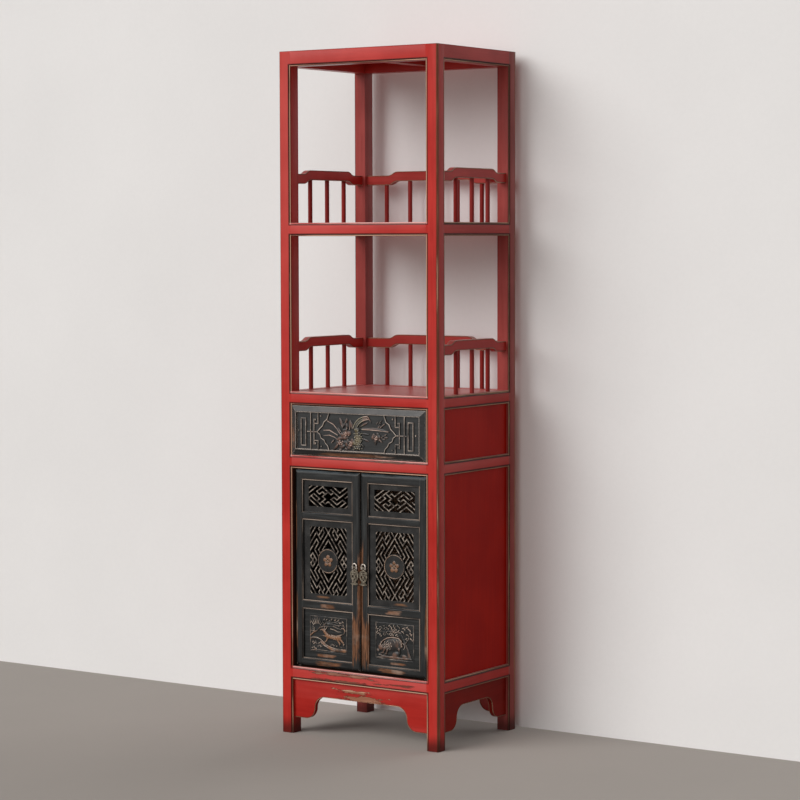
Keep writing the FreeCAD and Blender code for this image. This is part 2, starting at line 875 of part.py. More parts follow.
def make_runners():
    """A runner under each side of the drawer, let into the front and back rails."""
    seat = drawer_low - size["slide_gap"]
    for side, sign in SIDES.items():
        name = f"drawer_{side}_runner"
        runner = block_between(
            f"{name}_bar", ((clear_wide - size["runner_wide"]) * sign, clear_wide * sign),
            (-clear_deep - size["tongue"], clear_deep + size["tongue"]),
            (seat - size["runner_high"], seat)
        )
        piece(name, runner)
        for end in ENDS:
            pieces[f"waist_{end}_rail"].cut(runner)


# Doors, from the foot up
door_low = bottom_high + size["door_foot_gap"]
door_high = waist_low - size["door_head_gap"]
door_out = clear_wide - size["door_side_gap"]
door_in = size["door_meet_gap"] / 2
open_out = door_out - size["stile"]
open_in = door_in + size["stile"]
carved_low = door_low + size["door_bottom_rail"]
carved_high = carved_low + size["carved_open"]
tall_low = carved_high + size["lower_mid_rail"]
small_high = door_high - size["door_top_rail"]
small_low = small_high - size["small_open"]
tall_high = small_low - size["upper_mid_rail"]
DOOR_RAILS = {
    "bottom": (door_low, carved_low),
    "lower_mid": (carved_high, tall_low),
    "upper_mid": (tall_high, small_low),
    "top": (small_high, door_high),
}
DOOR_OPENINGS = {
    "carved_panel": (carved_low, carved_high),
    "tall_lattice": (tall_low, tall_high),
    "small_lattice": (small_low, small_high),
}


def make_door_frame(side, sign):
    """Two stiles and four rails with a cushion edge outside and beads inside."""
    door_back = front_face + size["door_thick"]
    y_ends = (front_face, door_back)
    stiles = {
        "hinge_stile": (door_out * sign, open_out * sign, -sign),
        "meeting_stile": (door_in * sign, open_in * sign, sign),
    }
    end_edges = [
        run(f"{side}_door_{name}_edge", cushion_edge,
            (span(door_in * sign, door_out * sign)[0], front_face, z),
            (span(door_in * sign, door_out * sign)[1], front_face, z), (0, 0, turn), (0, 1, 0))
        for name, z, turn in (("foot", door_low, 1), ("head", door_high, -1))
    ]
    for stile, (x_edge, x_open, turn) in stiles.items():
        name = f"{side}_door_{stile}"
        board = piece(name, block_between(f"{name}_bar", (x_edge, x_open), y_ends,
                                          (door_low, door_high)))
        board.cut(*end_edges)
        board.cut(run(f"{name}_edge", cushion_edge, (x_edge, front_face, door_low),
                      (x_edge, front_face, door_high), (turn, 0, 0), (0, 1, 0)))
        for opening, (low, high) in DOOR_OPENINGS.items():
            board.cut(run(
                f"{name}_{opening}_bead", door_bead,
                (x_open, front_face, low - size["door_bead_wide"]),
                (x_open, front_face, high + size["door_bead_wide"]), (-turn, 0, 0), (0, 1, 0)
            ))
    y_tenon = front_face + (size["door_thick"] - size["door_tenon"]) / 2
    shoulder = size["door_tongue"] + size["tenon_clear"]
    for rail_name, (low, high) in DOOR_RAILS.items():
        name = f"{side}_door_{rail_name}_rail"
        rail = piece(name, block_between(f"{name}_bar", (open_in * sign, open_out * sign), y_ends,
                                         (low, high)))
        for stile, (_, x_open, turn) in stiles.items():
            tenon = block_between(
                f"{name}_{stile}_tenon", (x_open, x_open - size["door_tenon_long"] * turn),
                (y_tenon, y_tenon + size["door_tenon"]), (low + shoulder, high - shoulder)
            )
            rail.solids.append(tenon)
            pieces[f"{side}_door_{stile}"].cut(tenon)
        x_low, x_high = span(open_in * sign, open_out * sign)
        if rail_name != "top":
            rail.cut(run(f"{name}_upper_bead", door_bead, (x_low, front_face, high),
                         (x_high, front_face, high), (0, 0, -1), (0, 1, 0)))
        if rail_name != "bottom":
            rail.cut(run(f"{name}_lower_bead", door_bead, (x_low, front_face, low),
                         (x_high, front_face, low), (0, 0, 1), (0, 1, 0)))
    pieces[f"{side}_door_bottom_rail"].cut(end_edges[0])
    pieces[f"{side}_door_top_rail"].cut(end_edges[1])


def make_pivots(side, sign):
    """Round pins at both ends of the hinge stile, and their sockets in the frame's rails."""
    x = (door_out - size["pivot_set"]) * sign
    y = front_face + size["door_thick"] / 2
    seat, clear, end_gap = size["pivot_seat"], size["pivot_clear"], size["pivot_end_gap"]
    radius = size["pivot"] / 2
    stile = pieces[f"{side}_door_hinge_stile"]
    stile.solids += [
        rod(f"{side}_lower_pivot", "z", (x, y, bottom_high - seat), radius,
            seat + size["door_foot_gap"]),
        rod(f"{side}_upper_pivot", "z", (x, y, door_high), radius, seat + size["door_head_gap"]),
    ]
    pieces["bottom_front_rail"].cut(rod(
        f"{side}_lower_socket", "z", (x, y, bottom_high - seat - end_gap), radius + clear,
        seat + end_gap
    ))
    pieces["waist_front_rail"].cut(rod(
        f"{side}_upper_socket", "z", (x, y, waist_low), radius + clear, seat + end_gap
    ))


def fret_bars(paths, mirrored):
    """Give the grid sides that hold a bar, each as its lower node and its direction."""
    bars = set()
    for path in paths:
        for (u, v), (end_u, end_v) in zip(path, path[1:]):
            steps = max(abs(end_u - u), abs(end_v - v))
            step = ((end_u - u) // steps, (end_v - v) // steps)
            for _ in range(steps):
                ahead = (u + step[0], v + step[1])
                bars.add((min((u, v), ahead), (abs(step[0]), abs(step[1]))))
                u, v = ahead
    if mirrored:
        bars |= {((v, u), (dv, du)) for (u, v), (du, dv) in bars}
        bars |= {((-v - dv, -u - du), (dv, du)) for (u, v), (du, dv) in bars}
    return bars


def fret_cells(bars):
    """Split the grid into cells, two to a step, and group the cells that hold no bar."""
    solid = set()
    for (u, v), (du, dv) in bars:
        solid |= {(2 * u + du * step, 2 * v + dv * step) for step in range(3)}
    reach = range(-2 * FRET_REACH, 2 * FRET_REACH)
    unseen = {(i, j) for i in reach for j in reach} - solid
    groups = []
    while unseen:
        waiting = [unseen.pop()]
        group = set(waiting)
        while waiting:
            i, j = waiting.pop()
            beside = {(i + 1, j), (i - 1, j), (i, j + 1), (i, j - 1)} & unseen
            unseen -= beside
            group |= beside
            waiting += beside
        groups.append(group)
    return groups


def cell_outlines(group):
    """Trace the closed outlines of a group of cells, keeping only their corners."""
    sides = {}
    for i, j in group:
        if (i, j - 1) not in group:
            sides[(i, j)] = (i + 1, j)
        if (i + 1, j) not in group:
            sides[(i + 1, j)] = (i + 1, j + 1)
        if (i, j + 1) not in group:
            sides[(i + 1, j + 1)] = (i, j + 1)
        if (i - 1, j) not in group:
            sides[(i, j + 1)] = (i, j)
    outlines = []
    while sides:
        start, point = next(iter(sides)), None
        trail = [start]
        while point != start:
            point = sides.pop(trail[-1])
            trail.append(point)
        trail.pop()
        outlines.append([
            here for before, here, after in zip(trail[-1:] + trail, trail, trail[1:] + trail[:1])
            if (here[0] - before[0]) * (after[1] - here[1]) != (here[1] - before[1]) * (after[0] - here[0])
        ])
    return outlines


def pierce(window, bars, centre, step_x, step_z, bar):
    """Cut the fret's gaps out of nothing: the faces between the bars, inside the window."""
    pitch = abs(2 * step_x * step_z) / math.hypot(step_x, step_z)
    half_bar_share = bar / pitch / 2

    def plane_point(corner):
        """Put a corner of the cells on the window's plane."""
        u, v = [index // 2 + (half_bar_share if index % 2 else -half_bar_share) for index in corner]
        return Vector(centre.x + (u - v) * step_x, centre.y, centre.z + (u + v) * step_z)

    gaps = []
    for group in fret_cells(bars):
        faces = []
        for outline in cell_outlines(group):
            points = [plane_point(corner) for corner in outline]
            faces.append(Part.Face(Part.makePolygon(points + points[:1])))
        faces.sort(key=lambda face: face.Area, reverse=True)
        gap = faces[0]
        for island in faces[1:]:
            gap = gap.cut(island)
        gaps += [
            face for face in gap.common(window).Faces
            if face.Area > LEAST_GAP_SHARE * step_x * step_z
        ]
    return gaps


def make_lattice(side, sign, kind):
    """A door panel with an open fret, and on the tall one a round medallion."""
    low, high = DOOR_OPENINGS[kind]
    name = f"{side}_door_{kind}"
    tongue = size["door_tongue"]
    x_low, x_high = span(open_in * sign, open_out * sign)
    y_low = front_face + size["door_panel_recess"]
    y_high = y_low + size["door_panel"]
    blank = block_between(
        f"{name}_blank", (x_low - tongue, x_high + tongue), (y_low, y_high),
        (low - tongue, high + tongue)
    )
    prefix = kind.split("_")[0]
    margin_x, margin_z = size[f"{prefix}_window_side"].value, size[f"{prefix}_window_end"].value
    wide = x_high.value - x_low.value - 2 * margin_x
    tall = high.value - low.value - 2 * margin_z
    corner = Vector(x_low.value + margin_x, y_low.value, low.value + margin_z)
    centre = corner + Vector(wide / 2, 0, tall / 2)
    window = face_on_front(corner, wide, tall)
    thick, bar = size["door_panel"].value, size["fret_bar"].value
    if kind == "tall_lattice":
        radius = max(wide * MEDALLION_SHARES[0], tall * MEDALLION_SHARES[1]) / 2
        proud = Vector(0, size["medallion_raise"].value, 0)
        disc = Part.makeCylinder(radius, thick + proud.y, centre - proud, Vector(0, 1, 0))
        rim = Part.Face(Part.Wire(Part.makeCircle(radius, centre, Vector(0, 1, 0))))
        step_x, step_z = wide * TALL_STEP_SHARES[0], tall * TALL_STEP_SHARES[1]
        bars = fret_bars(TALL_FRET_SHARES, True)
        gaps = pierce(window.cut(rim), bars, centre, step_x, step_z, bar)
    else:
        step_x, step_z = wide * SMALL_STEP_SHARES[0], tall * SMALL_STEP_SHARES[1]
        bars = fret_bars(SMALL_FRET_SHARES, False)
        gaps = pierce(window, bars, centre, step_x, -step_z * sign, bar)
    board = face_on_front(
        corner - Vector(margin_x + tongue.value, 0, margin_z + tongue.value),
        wide + 2 * (margin_x + tongue.value), tall + 2 * (margin_z + tongue.value)
    )
    shape = board.cut(Part.makeCompound(gaps)).extrude(Vector(0, thick, 0))
    if kind == "tall_lattice":
        shape = shape.fuse(disc).removeSplitter()
    if len(shape.Solids) != 1:
        raise RuntimeError(f"{name} has loose bars")
    lattice = doc.addObject("Part::Feature", f"{name}_fretwork")
    lattice.Shape = shape.Solids[0]
    place(lattice, (ZERO, ZERO, ZERO))
    piece(name, lattice)
    hold_panel(side, blank, kind)


def face_on_front(corner, wide, tall):
    """Make an upright rectangular face from its lower left corner."""
    points = [
        corner,
        corner + Vector(wide, 0, 0),
        corner + Vector(wide, 0, tall),
        corner + Vector(0, 0, tall),
        corner,
    ]
    return Part.Face(Part.makePolygon(points))


def hold_panel(side, blank, kind):
    """Groove the stiles and the two nearest rails of a door for a panel."""
    nearest = {
        "carved_panel": ("bottom", "lower_mid"),
        "tall_lattice": ("lower_mid", "upper_mid"),
        "small_lattice": ("upper_mid", "top"),
    }
    holders = ["hinge_stile", "meeting_stile"] + [f"{rail}_rail" for rail in nearest[kind]]
    for holder in holders:
        pieces[f"{side}_door_{holder}"].cut(blank)


def make_carved_panel(side, sign):
    """The plain board that carries a door's carving."""
    low, high = DOOR_OPENINGS["carved_panel"]
    name = f"{side}_door_carved_panel"
    tongue = size["door_tongue"]
    x_low, x_high = span(open_in * sign, open_out * sign)
    y_low = front_face + size["door_panel_recess"]
    board = block_between(f"{name}_board", (x_low - tongue, x_high + tongue),
                          (y_low, y_low + size["door_panel"]), (low - tongue, high + tongue))
    piece(name, board)
    hold_panel(side, board, "carved_panel")


def make_eye(side, x, y, z):
    """A staple with a cross pin, driven into the meeting stile by two prongs."""
    wire = size["eye_wire"] / 2
    half = size["eye_wide"] / 2
    bow = doc.addObject("Part::Torus", f"{side}_eye_bow")
    bind(bow, "Radius1", half)
    bind(bow, "Radius2", wire)
    bow.Angle3 = 180
    bow.Placement.Rotation = FreeCAD.Rotation(Vector(1, 0, 0), 90)
    place(bow, (x, y, z))
    eye = piece(f"{side}_pull_eye", bow)
    for name, turn in SIDES.items():
        leg_x = x + half * turn
        foot = z - size["eye_leg"]
        ball = doc.addObject("Part::Sphere", f"{side}_eye_{name}_ball")
        bind(ball, "Radius", wire)
        place(ball, (leg_x, y, foot))
        prong = rod(f"{side}_eye_{name}_prong", "y", (leg_x, y, foot), size["prong"] / 2,
                    size["eye_stand"] + size["prong_seat"])
        eye.solids += [rod(f"{side}_eye_{name}_leg", "z", (leg_x, y, foot), wire, size["eye_leg"]),
                       ball, prong]
        pieces[f"{side}_door_meeting_stile"].cut(prong)
    eye.solids.append(rod(f"{side}_eye_pin", "x", (x - half, y, z - size["pin_drop"]),
                          size["pin"] / 2, size["eye_wide"]))


def make_pull(side, sign):
    """The eye and the pierced plate that swings on its cross pin."""
    x = (door_in + size["stile"] / 2) * sign
    y = front_face - size["eye_stand"]
    z = door_low + size["pull_up"]
    make_eye(side, x, y, z)
    pin_z = z - size["pin_drop"]
    half, length, thick = size["pull_wide"].value / 2, size["pull_long"].value, size["pull_thick"].value
    top = Vector(x.value, y.value - thick / 2, pin_z.value)

    def share_point(shares, turn):
        """Put a point of the plate's outline on its front plane."""
        return top + Vector(half * shares[0] * turn, 0, -length * shares[1])

    edges = []
    for turn in (1, -1):
        start = share_point((PULL_SIDE_SHARES[0][0][0], 0), turn)
        for side_shares in PULL_SIDE_SHARES:
            points = [share_point(shares, turn) for shares in side_shares]
            if len(points) == 1:
                edges.append(Part.LineSegment(start, points[0]).toShape())
            else:
                edges.append(Part.Arc(start, *points).toShape())
            start = points[-1]
    edges.append(Part.LineSegment(share_point((PULL_SIDE_SHARES[0][0][0], 0), 1),
                                  share_point((PULL_SIDE_SHARES[0][0][0], 0), -1)).toShape())
    plate = Part.Face(Part.Wire(Part.__sortEdges__(edges))).extrude(Vector(0, thick, 0))
    for across, down, half_across, half_down in PULL_HOLE_SHARES:
        for turn in ((1, -1) if across else (1,)):
            centre = share_point((across, down), turn) - Vector(0, thick, 0)
            sizes = sorted((half * half_across, length * half_down), reverse=True)
            upright = length * half_down >= half * half_across
            oval = Part.Ellipse(centre, *sizes)
            oval.Axis = Vector(0, 1, 0)
            oval.XAxis = Vector(0, 0, 1) if upright else Vector(1, 0, 0)
            plate = plate.cut(Part.Face(Part.Wire(oval.toShape())).extrude(Vector(0, 3 * thick, 0)))
    ornament = doc.addObject("Part::Feature", f"{side}_pull_plate")
    ornament.Shape = plate
    place(ornament, (ZERO, ZERO, ZERO))
    lug = rod(f"{side}_pull_lug", "x", (x - size["lug_wide"] / 2, y, pin_z), size["lug"] / 2,
              size["lug_wide"])
    bore = rod(f"{side}_pull_bore", "x", (x - size["lug_wide"], y, pin_z),
               size["pin"] / 2 + size["pin_clear"], size["lug_wide"] * 2)
    piece(f"{side}_pull", ornament, lug).cut(bore)


make_posts()
make_cross_rails()
make_side_rails()
make_shelves()
make_wall_panels()
make_aprons()
make_galleries()
make_drawer()
make_runners()
for door_side, door_sign in SIDES.items():
    make_door_frame(door_side, door_sign)
    make_pivots(door_side, door_sign)
    make_lattice(door_side, door_sign, "small_lattice")
    make_lattice(door_side, door_sign, "tall_lattice")
    make_carved_panel(door_side, door_sign)
    make_pull(door_side, door_sign)

# Pieces that are alike share one file as separate solids
GROUPS = {
    "back_rails": [f"{level}_back_rail" for level in LEVELS],
    "shelf_battens": ["floor_batten", "lower_shelf_batten", "upper_shelf_batten"],
    "drawer_side_panels": ["drawer_left_panel", "drawer_right_panel"],
    "drawer_runners": ["drawer_left_runner", "drawer_right_runner"],
}
for level in LEVELS:
    GROUPS[f"{level}_side_rails"] = [f"{level}_{side}_rail" for side in SIDES]
for shelf in ("lower", "upper"):
    GROUPS[f"{shelf}_spindles"] = [name for name in pieces if name.startswith(f"{shelf}_")
                                   and "_spindle_" in name]
for side in SIDES:
    GROUPS[f"{side}_door_rails"] = [f"{side}_door_{rail}_rail" for rail in DOOR_RAILS]

finished = {name: item.finish() for name, item in pieces.items()}
nodes = {}
for group, members in GROUPS.items():
    bundle = doc.addObject("Part::Compound", group)
    bundle.Links = [finished.pop(member) for member in members]
    nodes[group] = bundle
nodes.update(finished)
doc.recompute()

for item in doc.Objects:
    if "Invalid" in item.State or "Error" in item.State:
        raise RuntimeError(f"{item.Name} failed: {item.State}")
for name, item in nodes.items():
    item.Label = name
    if item.Shape.isNull() or not item.Shape.isValid():
        raise RuntimeError(f"{name} has no valid shape")

os.makedirs("parts", exist_ok=True)
for name, item in nodes.items():
    item.Shape.exportStep(f"parts/{name}.step")
print(len(nodes), "nodes")
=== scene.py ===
"""Looks of a tall book cabinet in worn red and black lacquer, with carving and lattices."""

import logging
import math
import random
from dataclasses import dataclass, field
from enum import Enum, StrEnum
from fnmatch import fnmatch

import bmesh
import bpy
from mathutils import Matrix, Vector


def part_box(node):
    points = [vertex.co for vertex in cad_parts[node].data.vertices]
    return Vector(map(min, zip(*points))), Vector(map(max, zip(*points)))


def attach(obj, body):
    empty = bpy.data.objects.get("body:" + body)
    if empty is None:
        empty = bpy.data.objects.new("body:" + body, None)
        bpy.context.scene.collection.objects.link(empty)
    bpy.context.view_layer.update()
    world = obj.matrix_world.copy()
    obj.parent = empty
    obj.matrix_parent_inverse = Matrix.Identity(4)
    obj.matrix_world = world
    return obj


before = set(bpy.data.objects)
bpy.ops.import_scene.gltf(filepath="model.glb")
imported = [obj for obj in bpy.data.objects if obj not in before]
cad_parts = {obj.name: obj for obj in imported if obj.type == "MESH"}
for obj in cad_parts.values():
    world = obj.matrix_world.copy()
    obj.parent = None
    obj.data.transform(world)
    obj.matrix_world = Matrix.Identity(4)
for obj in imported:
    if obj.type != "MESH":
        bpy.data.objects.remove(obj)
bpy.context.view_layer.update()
log = logging.getLogger("book_cabinet")

MM = 0.001
IMAGE_SIDE = 800
SENSOR_WIDE = 36.0

# The beads of the frame, in millimetres: how far they reach into the posts' edges, and how deep
# their crests, grooves and rounds lie under a face.
BEAD_SEAT = 5.0
BEAD_CREST = (1.2, 1.62)
BEAD_GROOVE = (0.10, 3.4)
BEAD_ROUND = (0.55, 2.6)
RAIL_BEAD = (-5.5, 0.3)

# The doors' beads, in the same way, and the part of the doors that has them.
DOOR_CREST = (0.9, 1.35)
DOOR_GROOVE = (0.9, 2.8)
DOOR_BEADS_ACROSS = (20.0, 191.0)
DOOR_BEADS_UP = (198.0, 691.0)

# Other places and sizes, in millimetres.
OUTLINE_BAND = (4.2, 6.8)
SEAM_HALF = 3.5
DOOR_SEAM_HALF = 2.5
SPOT_DEEP = (34.0, 28.0)
# Painted sheen: where the front turns paler, upward and to the left, under the window light.
SHEEN_UP = (600.0, 1700.0)
SHEEN_ACROSS = (230.0, -230.0)
# How the frame turns darker towards the floor: from this height down to this one.
LOW_DARKENING = (64.0, 22.0)
FIELD_DEEP = 6.0
DISC_RADIUS = 33.0

Colour = tuple[float, float, float]
Point = tuple[float, float, float]
Place = tuple[float, float]
Range = tuple[float, float]
Socket = bpy.types.NodeSocket
Value = Socket | Colour | float


class Grain(Enum):
    """The way the wood of a piece runs, or its patches are drawn out."""

    ALONG_X = (0.06, 1.0, 1.0)
    ALONG_Y = (1.0, 0.06, 1.0)
    UPRIGHT = (1.0, 1.0, 0.06)
    EVEN = (1.0, 1.0, 1.0)
    RAGGED = (0.22, 1.0, 1.0)


class Face(Enum):
    """The way that a piece's broad faces look."""

    SIDEWAYS = "X"
    FORWARD = "Y"


class Side(StrEnum):
    """The side of a door and its pull, by the word in their names."""

    LEFT = "left"
    RIGHT = "right"

    @property
    def sign(self) -> int:
        """Tell the way from the middle: -1 to the left, 1 to the right."""
        return -1 if self is Side.LEFT else 1


@dataclass(frozen=True)
class Frame:
    """Faces and edges of the cabinet's frame, in millimetres, read from its posts and rails."""

    front: float
    back: float
    side: float
    post: float
    levels: dict[str, Range]

    @classmethod
    def read(cls) -> "Frame":
        """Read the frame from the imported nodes.

        Returns:
            The frame.
        """
        low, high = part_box("front_right_post")
        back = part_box("back_right_post")[1].y
        levels = {}
        for level in ("bottom", "waist", "lower_shelf", "upper_shelf", "top"):
            rail_low, rail_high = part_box(f"{level}_front_rail")
            levels[level] = (rail_low.z / MM, rail_high.z / MM)
        return cls(low.y / MM, back / MM, high.x / MM, (high.y - low.y) / MM, levels)

    @property
    def clear_wide(self) -> float:
        """Half the clear width between the posts."""
        return self.side - self.post

    @property
    def clear_deep(self) -> float:
        """Half the clear depth between the posts."""
        return self.half_deep - self.post

    @property
    def half_deep(self) -> float:
        """Half the depth over the posts."""
        return (self.back - self.front) / 2

    @property
    def middle(self) -> float:
        """The middle of the depth."""
        return (self.front + self.back) / 2


FRAME = Frame.read()


def scaled(colour: Colour, share: float) -> Colour:
    """Make a colour darker or lighter by a share."""
    return tuple(share * part for part in colour)


@dataclass(frozen=True)
class WornSpot:
    """A place on the front where the lacquer is rubbed through, in millimetres."""

    x: float
    z: float
    half_wide: float
    half_tall: float
    strength: float = 1.0


class Graph:
    """A material's node tree, built by short calls that give back sockets."""

    def __init__(self, name: str) -> None:
        """Start a material with a plain shader.

        Args:
            name: the material's name.
        """
        self.material = bpy.data.materials.new(name)
        self.material.use_nodes = True
        self.tree = self.material.node_tree
        self.tree.nodes.clear()
        output = self.new("OutputMaterial")
        self.shader = self.new("BsdfPrincipled")
        self.feed(output.inputs["Surface"], self.shader.outputs["BSDF"])
        coordinates = self.new("TexCoord")
        self.place = coordinates.outputs["Object"]
        self.x, self.y, self.z = (self.times(part, 1 / MM)
                                  for part in self.parts(self.place).values())
        self.facing = self.parts(coordinates.outputs["Normal"])
        self.colour: Value = (0.0, 0.0, 0.0)

    def new(self, kind: str) -> bpy.types.Node:
        """Add a shader node of some kind."""
        return self.tree.nodes.new(f"ShaderNode{kind}")

    def feed(self, socket: Socket, value: Value) -> None:
        """Link a socket, or set it to a plain number or colour.

        Args:
            socket: what takes the value.
            value: another node's socket, a number or a colour.
        """
        if isinstance(value, Socket):
            self.tree.links.new(value, socket)
        elif isinstance(value, tuple) and len(value) == 3 and socket.type == "RGBA":
            socket.default_value = (*value, 1.0)
        else:
            socket.default_value = value

    def parts(self, vector: Socket) -> dict[str, Socket]:
        """Split a vector.

        Args:
            vector: the vector's socket.

        Returns:
            Its three numbers, by axis.
        """
        node = self.new("SeparateXYZ")
        self.feed(node.inputs[0], vector)
        return dict(zip("XYZ", node.outputs))

    def math(self, operation: str, *values: Value, clamp: bool = False) -> Socket:
        """Work out one number.

        Args:
            operation: the math node's operation.
            values: its inputs.
            clamp: whether the result stays between 0 and 1.

        Returns:
            The result's socket.
        """
        node = self.new("Math")
        node.operation = operation
        node.use_clamp = clamp
        for socket, value in zip(node.inputs, values):
            self.feed(socket, value)
        return node.outputs[0]

    def chain(self, operation: str, values: tuple[Value, ...]) -> Value:
        """Work several values together, two at a time.

        Args:
            operation: the math nodes' operation.
            values: what is worked together.

        Returns:
            The result, or the value itself where there is only one.
        """
        result = values[0]
        for value in values[1:]:
            result = self.math(operation, result, value)
        return result

    def times(self, *values: Value) -> Value:
        """Multiply values together."""
        return self.chain("MULTIPLY", values)

    def plus(self, *values: Value) -> Value:
        """Add values up."""
        return self.chain("ADD", values)

    def most(self, *values: Value) -> Value:
        """Take the largest of several values."""
        return self.chain("MAXIMUM", values)

    def less(self, value: Value, taken: Value) -> Socket:
        """Take one value away from another."""
        return self.math("SUBTRACT", value, taken)

    def unless(self, value: Value) -> Socket:
        """Take a share away from one."""
        return self.math("SUBTRACT", 1.0, value, clamp=True)

    def off(self, value: Value, middle: float = 0.0) -> Socket:
        """Measure how far a value is from a middle."""
        return self.math("ABSOLUTE", self.plus(value, -middle) if middle else value)

    def sway(self, noise: Value, reach: float) -> Value:
        """Turn a noise into a push both ways, as long as reach from end to end."""
        return self.times(self.plus(noise, -0.5), reach)

    def rise(self, value: Value, low: float, high: float) -> Socket:
        """Go smoothly from 0 to 1.

        Args:
            value: what is measured.
            low: where 0 ends.
            high: where 1 begins, which may be below low.

        Returns:
            The share's socket.
        """
        node = self.new("MapRange")
        node.interpolation_type = "SMOOTHSTEP"
        turned = low > high
        self.feed(node.inputs["Value"], value)
        for name, number in (("From Min", high if turned else low),
                             ("From Max", low if turned else high),
                             ("To Min", 1.0 if turned else 0.0),
                             ("To Max", 0.0 if turned else 1.0)):
            node.inputs[name].default_value = number
        return node.outputs["Result"]

    def band(self, value: Value, low: float, high: float, soft: float) -> Socket:
        """Be 1 between two values and 0 outside them.

        Args:
            value: what is measured.
            low: where the band starts.
            high: where it ends.
            soft: how far each edge takes to fade.

        Returns:
            The band's socket.
        """
        return self.times(self.rise(value, low - soft, low), self.rise(value, high + soft, high))

    def noise(self, scale: float, detail: float = 2.0, grain: Grain = Grain.EVEN,
              roughness: float = 0.55) -> Socket:
        """Spread a cloudy noise over the piece, drawn out along its grain.

        Args:
            scale: how many patches to a metre.
            detail: how many finer layers are added.
            grain: the way the patches are drawn out.
            roughness: the strength of the finer layers.

        Returns:
            A socket around one half.
        """
        mapping = self.new("Mapping")
        self.feed(mapping.inputs["Vector"], self.place)
        mapping.inputs["Scale"].default_value = grain.value
        node = self.new("TexNoise")
        self.feed(node.inputs["Vector"], mapping.outputs[0])
        for name, number in (("Scale", scale), ("Detail", detail), ("Roughness", roughness)):
            node.inputs[name].default_value = number
        return node.outputs["Fac"]

    def mix(self, share: Value, first: Value, second: Value) -> Socket:
        """Mix two colours.

        Args:
            share: how much of the second shows.
            first: one colour.
            second: the other colour.

        Returns:
            The mixed colour's socket.
        """
        node = self.new("Mix")
        node.data_type = "RGBA"
        colour_a, colour_b, colour_out = node.inputs[6], node.inputs[7], node.outputs[2]
        for socket, value in ((node.inputs["Factor"], share), (colour_a, first),
                              (colour_b, second)):
            self.feed(socket, value)
        return colour_out

    def tint(self, value: Value, low: float, high: float, first: Value, second: Value) -> Socket:
        """Go from one colour to another as a value rises.

        Args:
            value: what is measured.
            low: where the first colour ends.
            high: where the second begins.
            first: the colour below.
            second: the colour above.

        Returns:
            The colour's socket.
        """
        return self.mix(self.rise(value, low, high), first, second)

    def paint(self, coat: Value, *shares: Value) -> None:
        """Lay a colour over what is painted so far.

        Args:
            coat: the new colour.
            shares: what its cover is multiplied from.
        """
        self.colour = self.mix(self.times(*shares), self.colour, coat)

    def polish(self, roughness: Value, gloss: float = 0.5, metallic: float = 0.0) -> None:
        """Give the shader the painted colour, and set how it shines.

        Args:
            roughness: how dull it is.
            gloss: its specular level.
            metallic: how metallic it is.
        """
        for name, value in (("Base Color", self.colour), ("Roughness", roughness),
                            ("Specular IOR Level", gloss), ("Metallic", metallic)):
            self.feed(self.shader.inputs[name], value)

    def rounded(self, radius: float, samples: int = 4) -> Socket:
        """Find the normal that the surface would have with its edges rounded.

        Args:
            radius: how far the rounding reaches, in metres.
            samples: how many rays look for the edges.

        Returns:
            The rounded normal's socket.
        """
        bevel = self.new("Bevel")
        bevel.samples = samples
        bevel.inputs["Radius"].default_value = radius
        return bevel.outputs[0]

    def edges(self, radius: float, samples: int = 4) -> Socket:
        """Find the sharp edges of a piece.

        Args:
            radius: how far from an edge counts, in metres.
            samples: how many rays look for it.

        Returns:
            A socket that is 0 on flats and rises towards the edges.
        """
        dot = self.new("VectorMath")
        dot.operation = "DOT_PRODUCT"
        self.feed(dot.inputs[0], self.rounded(radius, samples))
        self.feed(dot.inputs[1], self.new("NewGeometry").outputs["Normal"])
        return self.unless(dot.outputs["Value"])

    def corners(self, radius: float, samples: int, axes: str = "XYZ") -> Socket:
        """Find the sharp or eased corners of a piece whose flats are square to the frame.

        Args:
            radius: how far from a corner counts, in metres.
            samples: how many rays look for it.
            axes: the ways that the flat faces look.

        Returns:
            A socket that is 0 on flats and rises towards corners.
        """
        parts = self.parts(self.rounded(radius, samples))
        return self.unless(self.most(*(self.off(parts[axis]) for axis in axes)))

    def turning(self, radius: float, samples: int, face: Face) -> Socket:
        """Find where a surface turns between faces that look along one way and faces across it.

        Args:
            radius: how far from a sharp edge counts, in metres.
            samples: how many rays look for it.
            face: the way that the broad faces look.

        Returns:
            A socket that is 0 on both kinds of face and rises between them.
        """
        along = self.off(self.parts(self.rounded(radius, samples))[face.value])
        across = self.math("SQRT", self.unless(self.times(along, along)))
        return self.math("MINIMUM", along, across)

    def ridges(self) -> Socket:
        """Find the ridges of finely divided relief: above one half on them, below in hollows."""
        return self.new("NewGeometry").outputs["Pointiness"]

    def patches(self, spots: tuple[WornSpot, ...], rub: Value) -> Value:
        """Find the worn spots, broken up by noise.

        Args:
            spots: where the finish is rubbed through.
            rub: the noise that breaks their edges up.

        Returns:
            A socket that is 1 where the wood shows.
        """
        result = 0.0
        front = self.rise(self.y, *(FRAME.front + deep for deep in SPOT_DEEP))
        for spot in spots:
            reach = self.most(self.times(self.off(self.x, spot.x), 1 / spot.half_wide),
                              self.times(self.off(self.z, spot.z), 1 / spot.half_tall))
            fade = self.plus(1.0, self.times(reach, -1.0))
            shown = self.rise(self.plus(fade, self.sway(rub, 2.6)), 0.30, 0.75)
            inside = self.rise(fade, 0.0, 0.25)
            result = self.most(result, self.times(shown, inside, front, spot.strength))
        return result

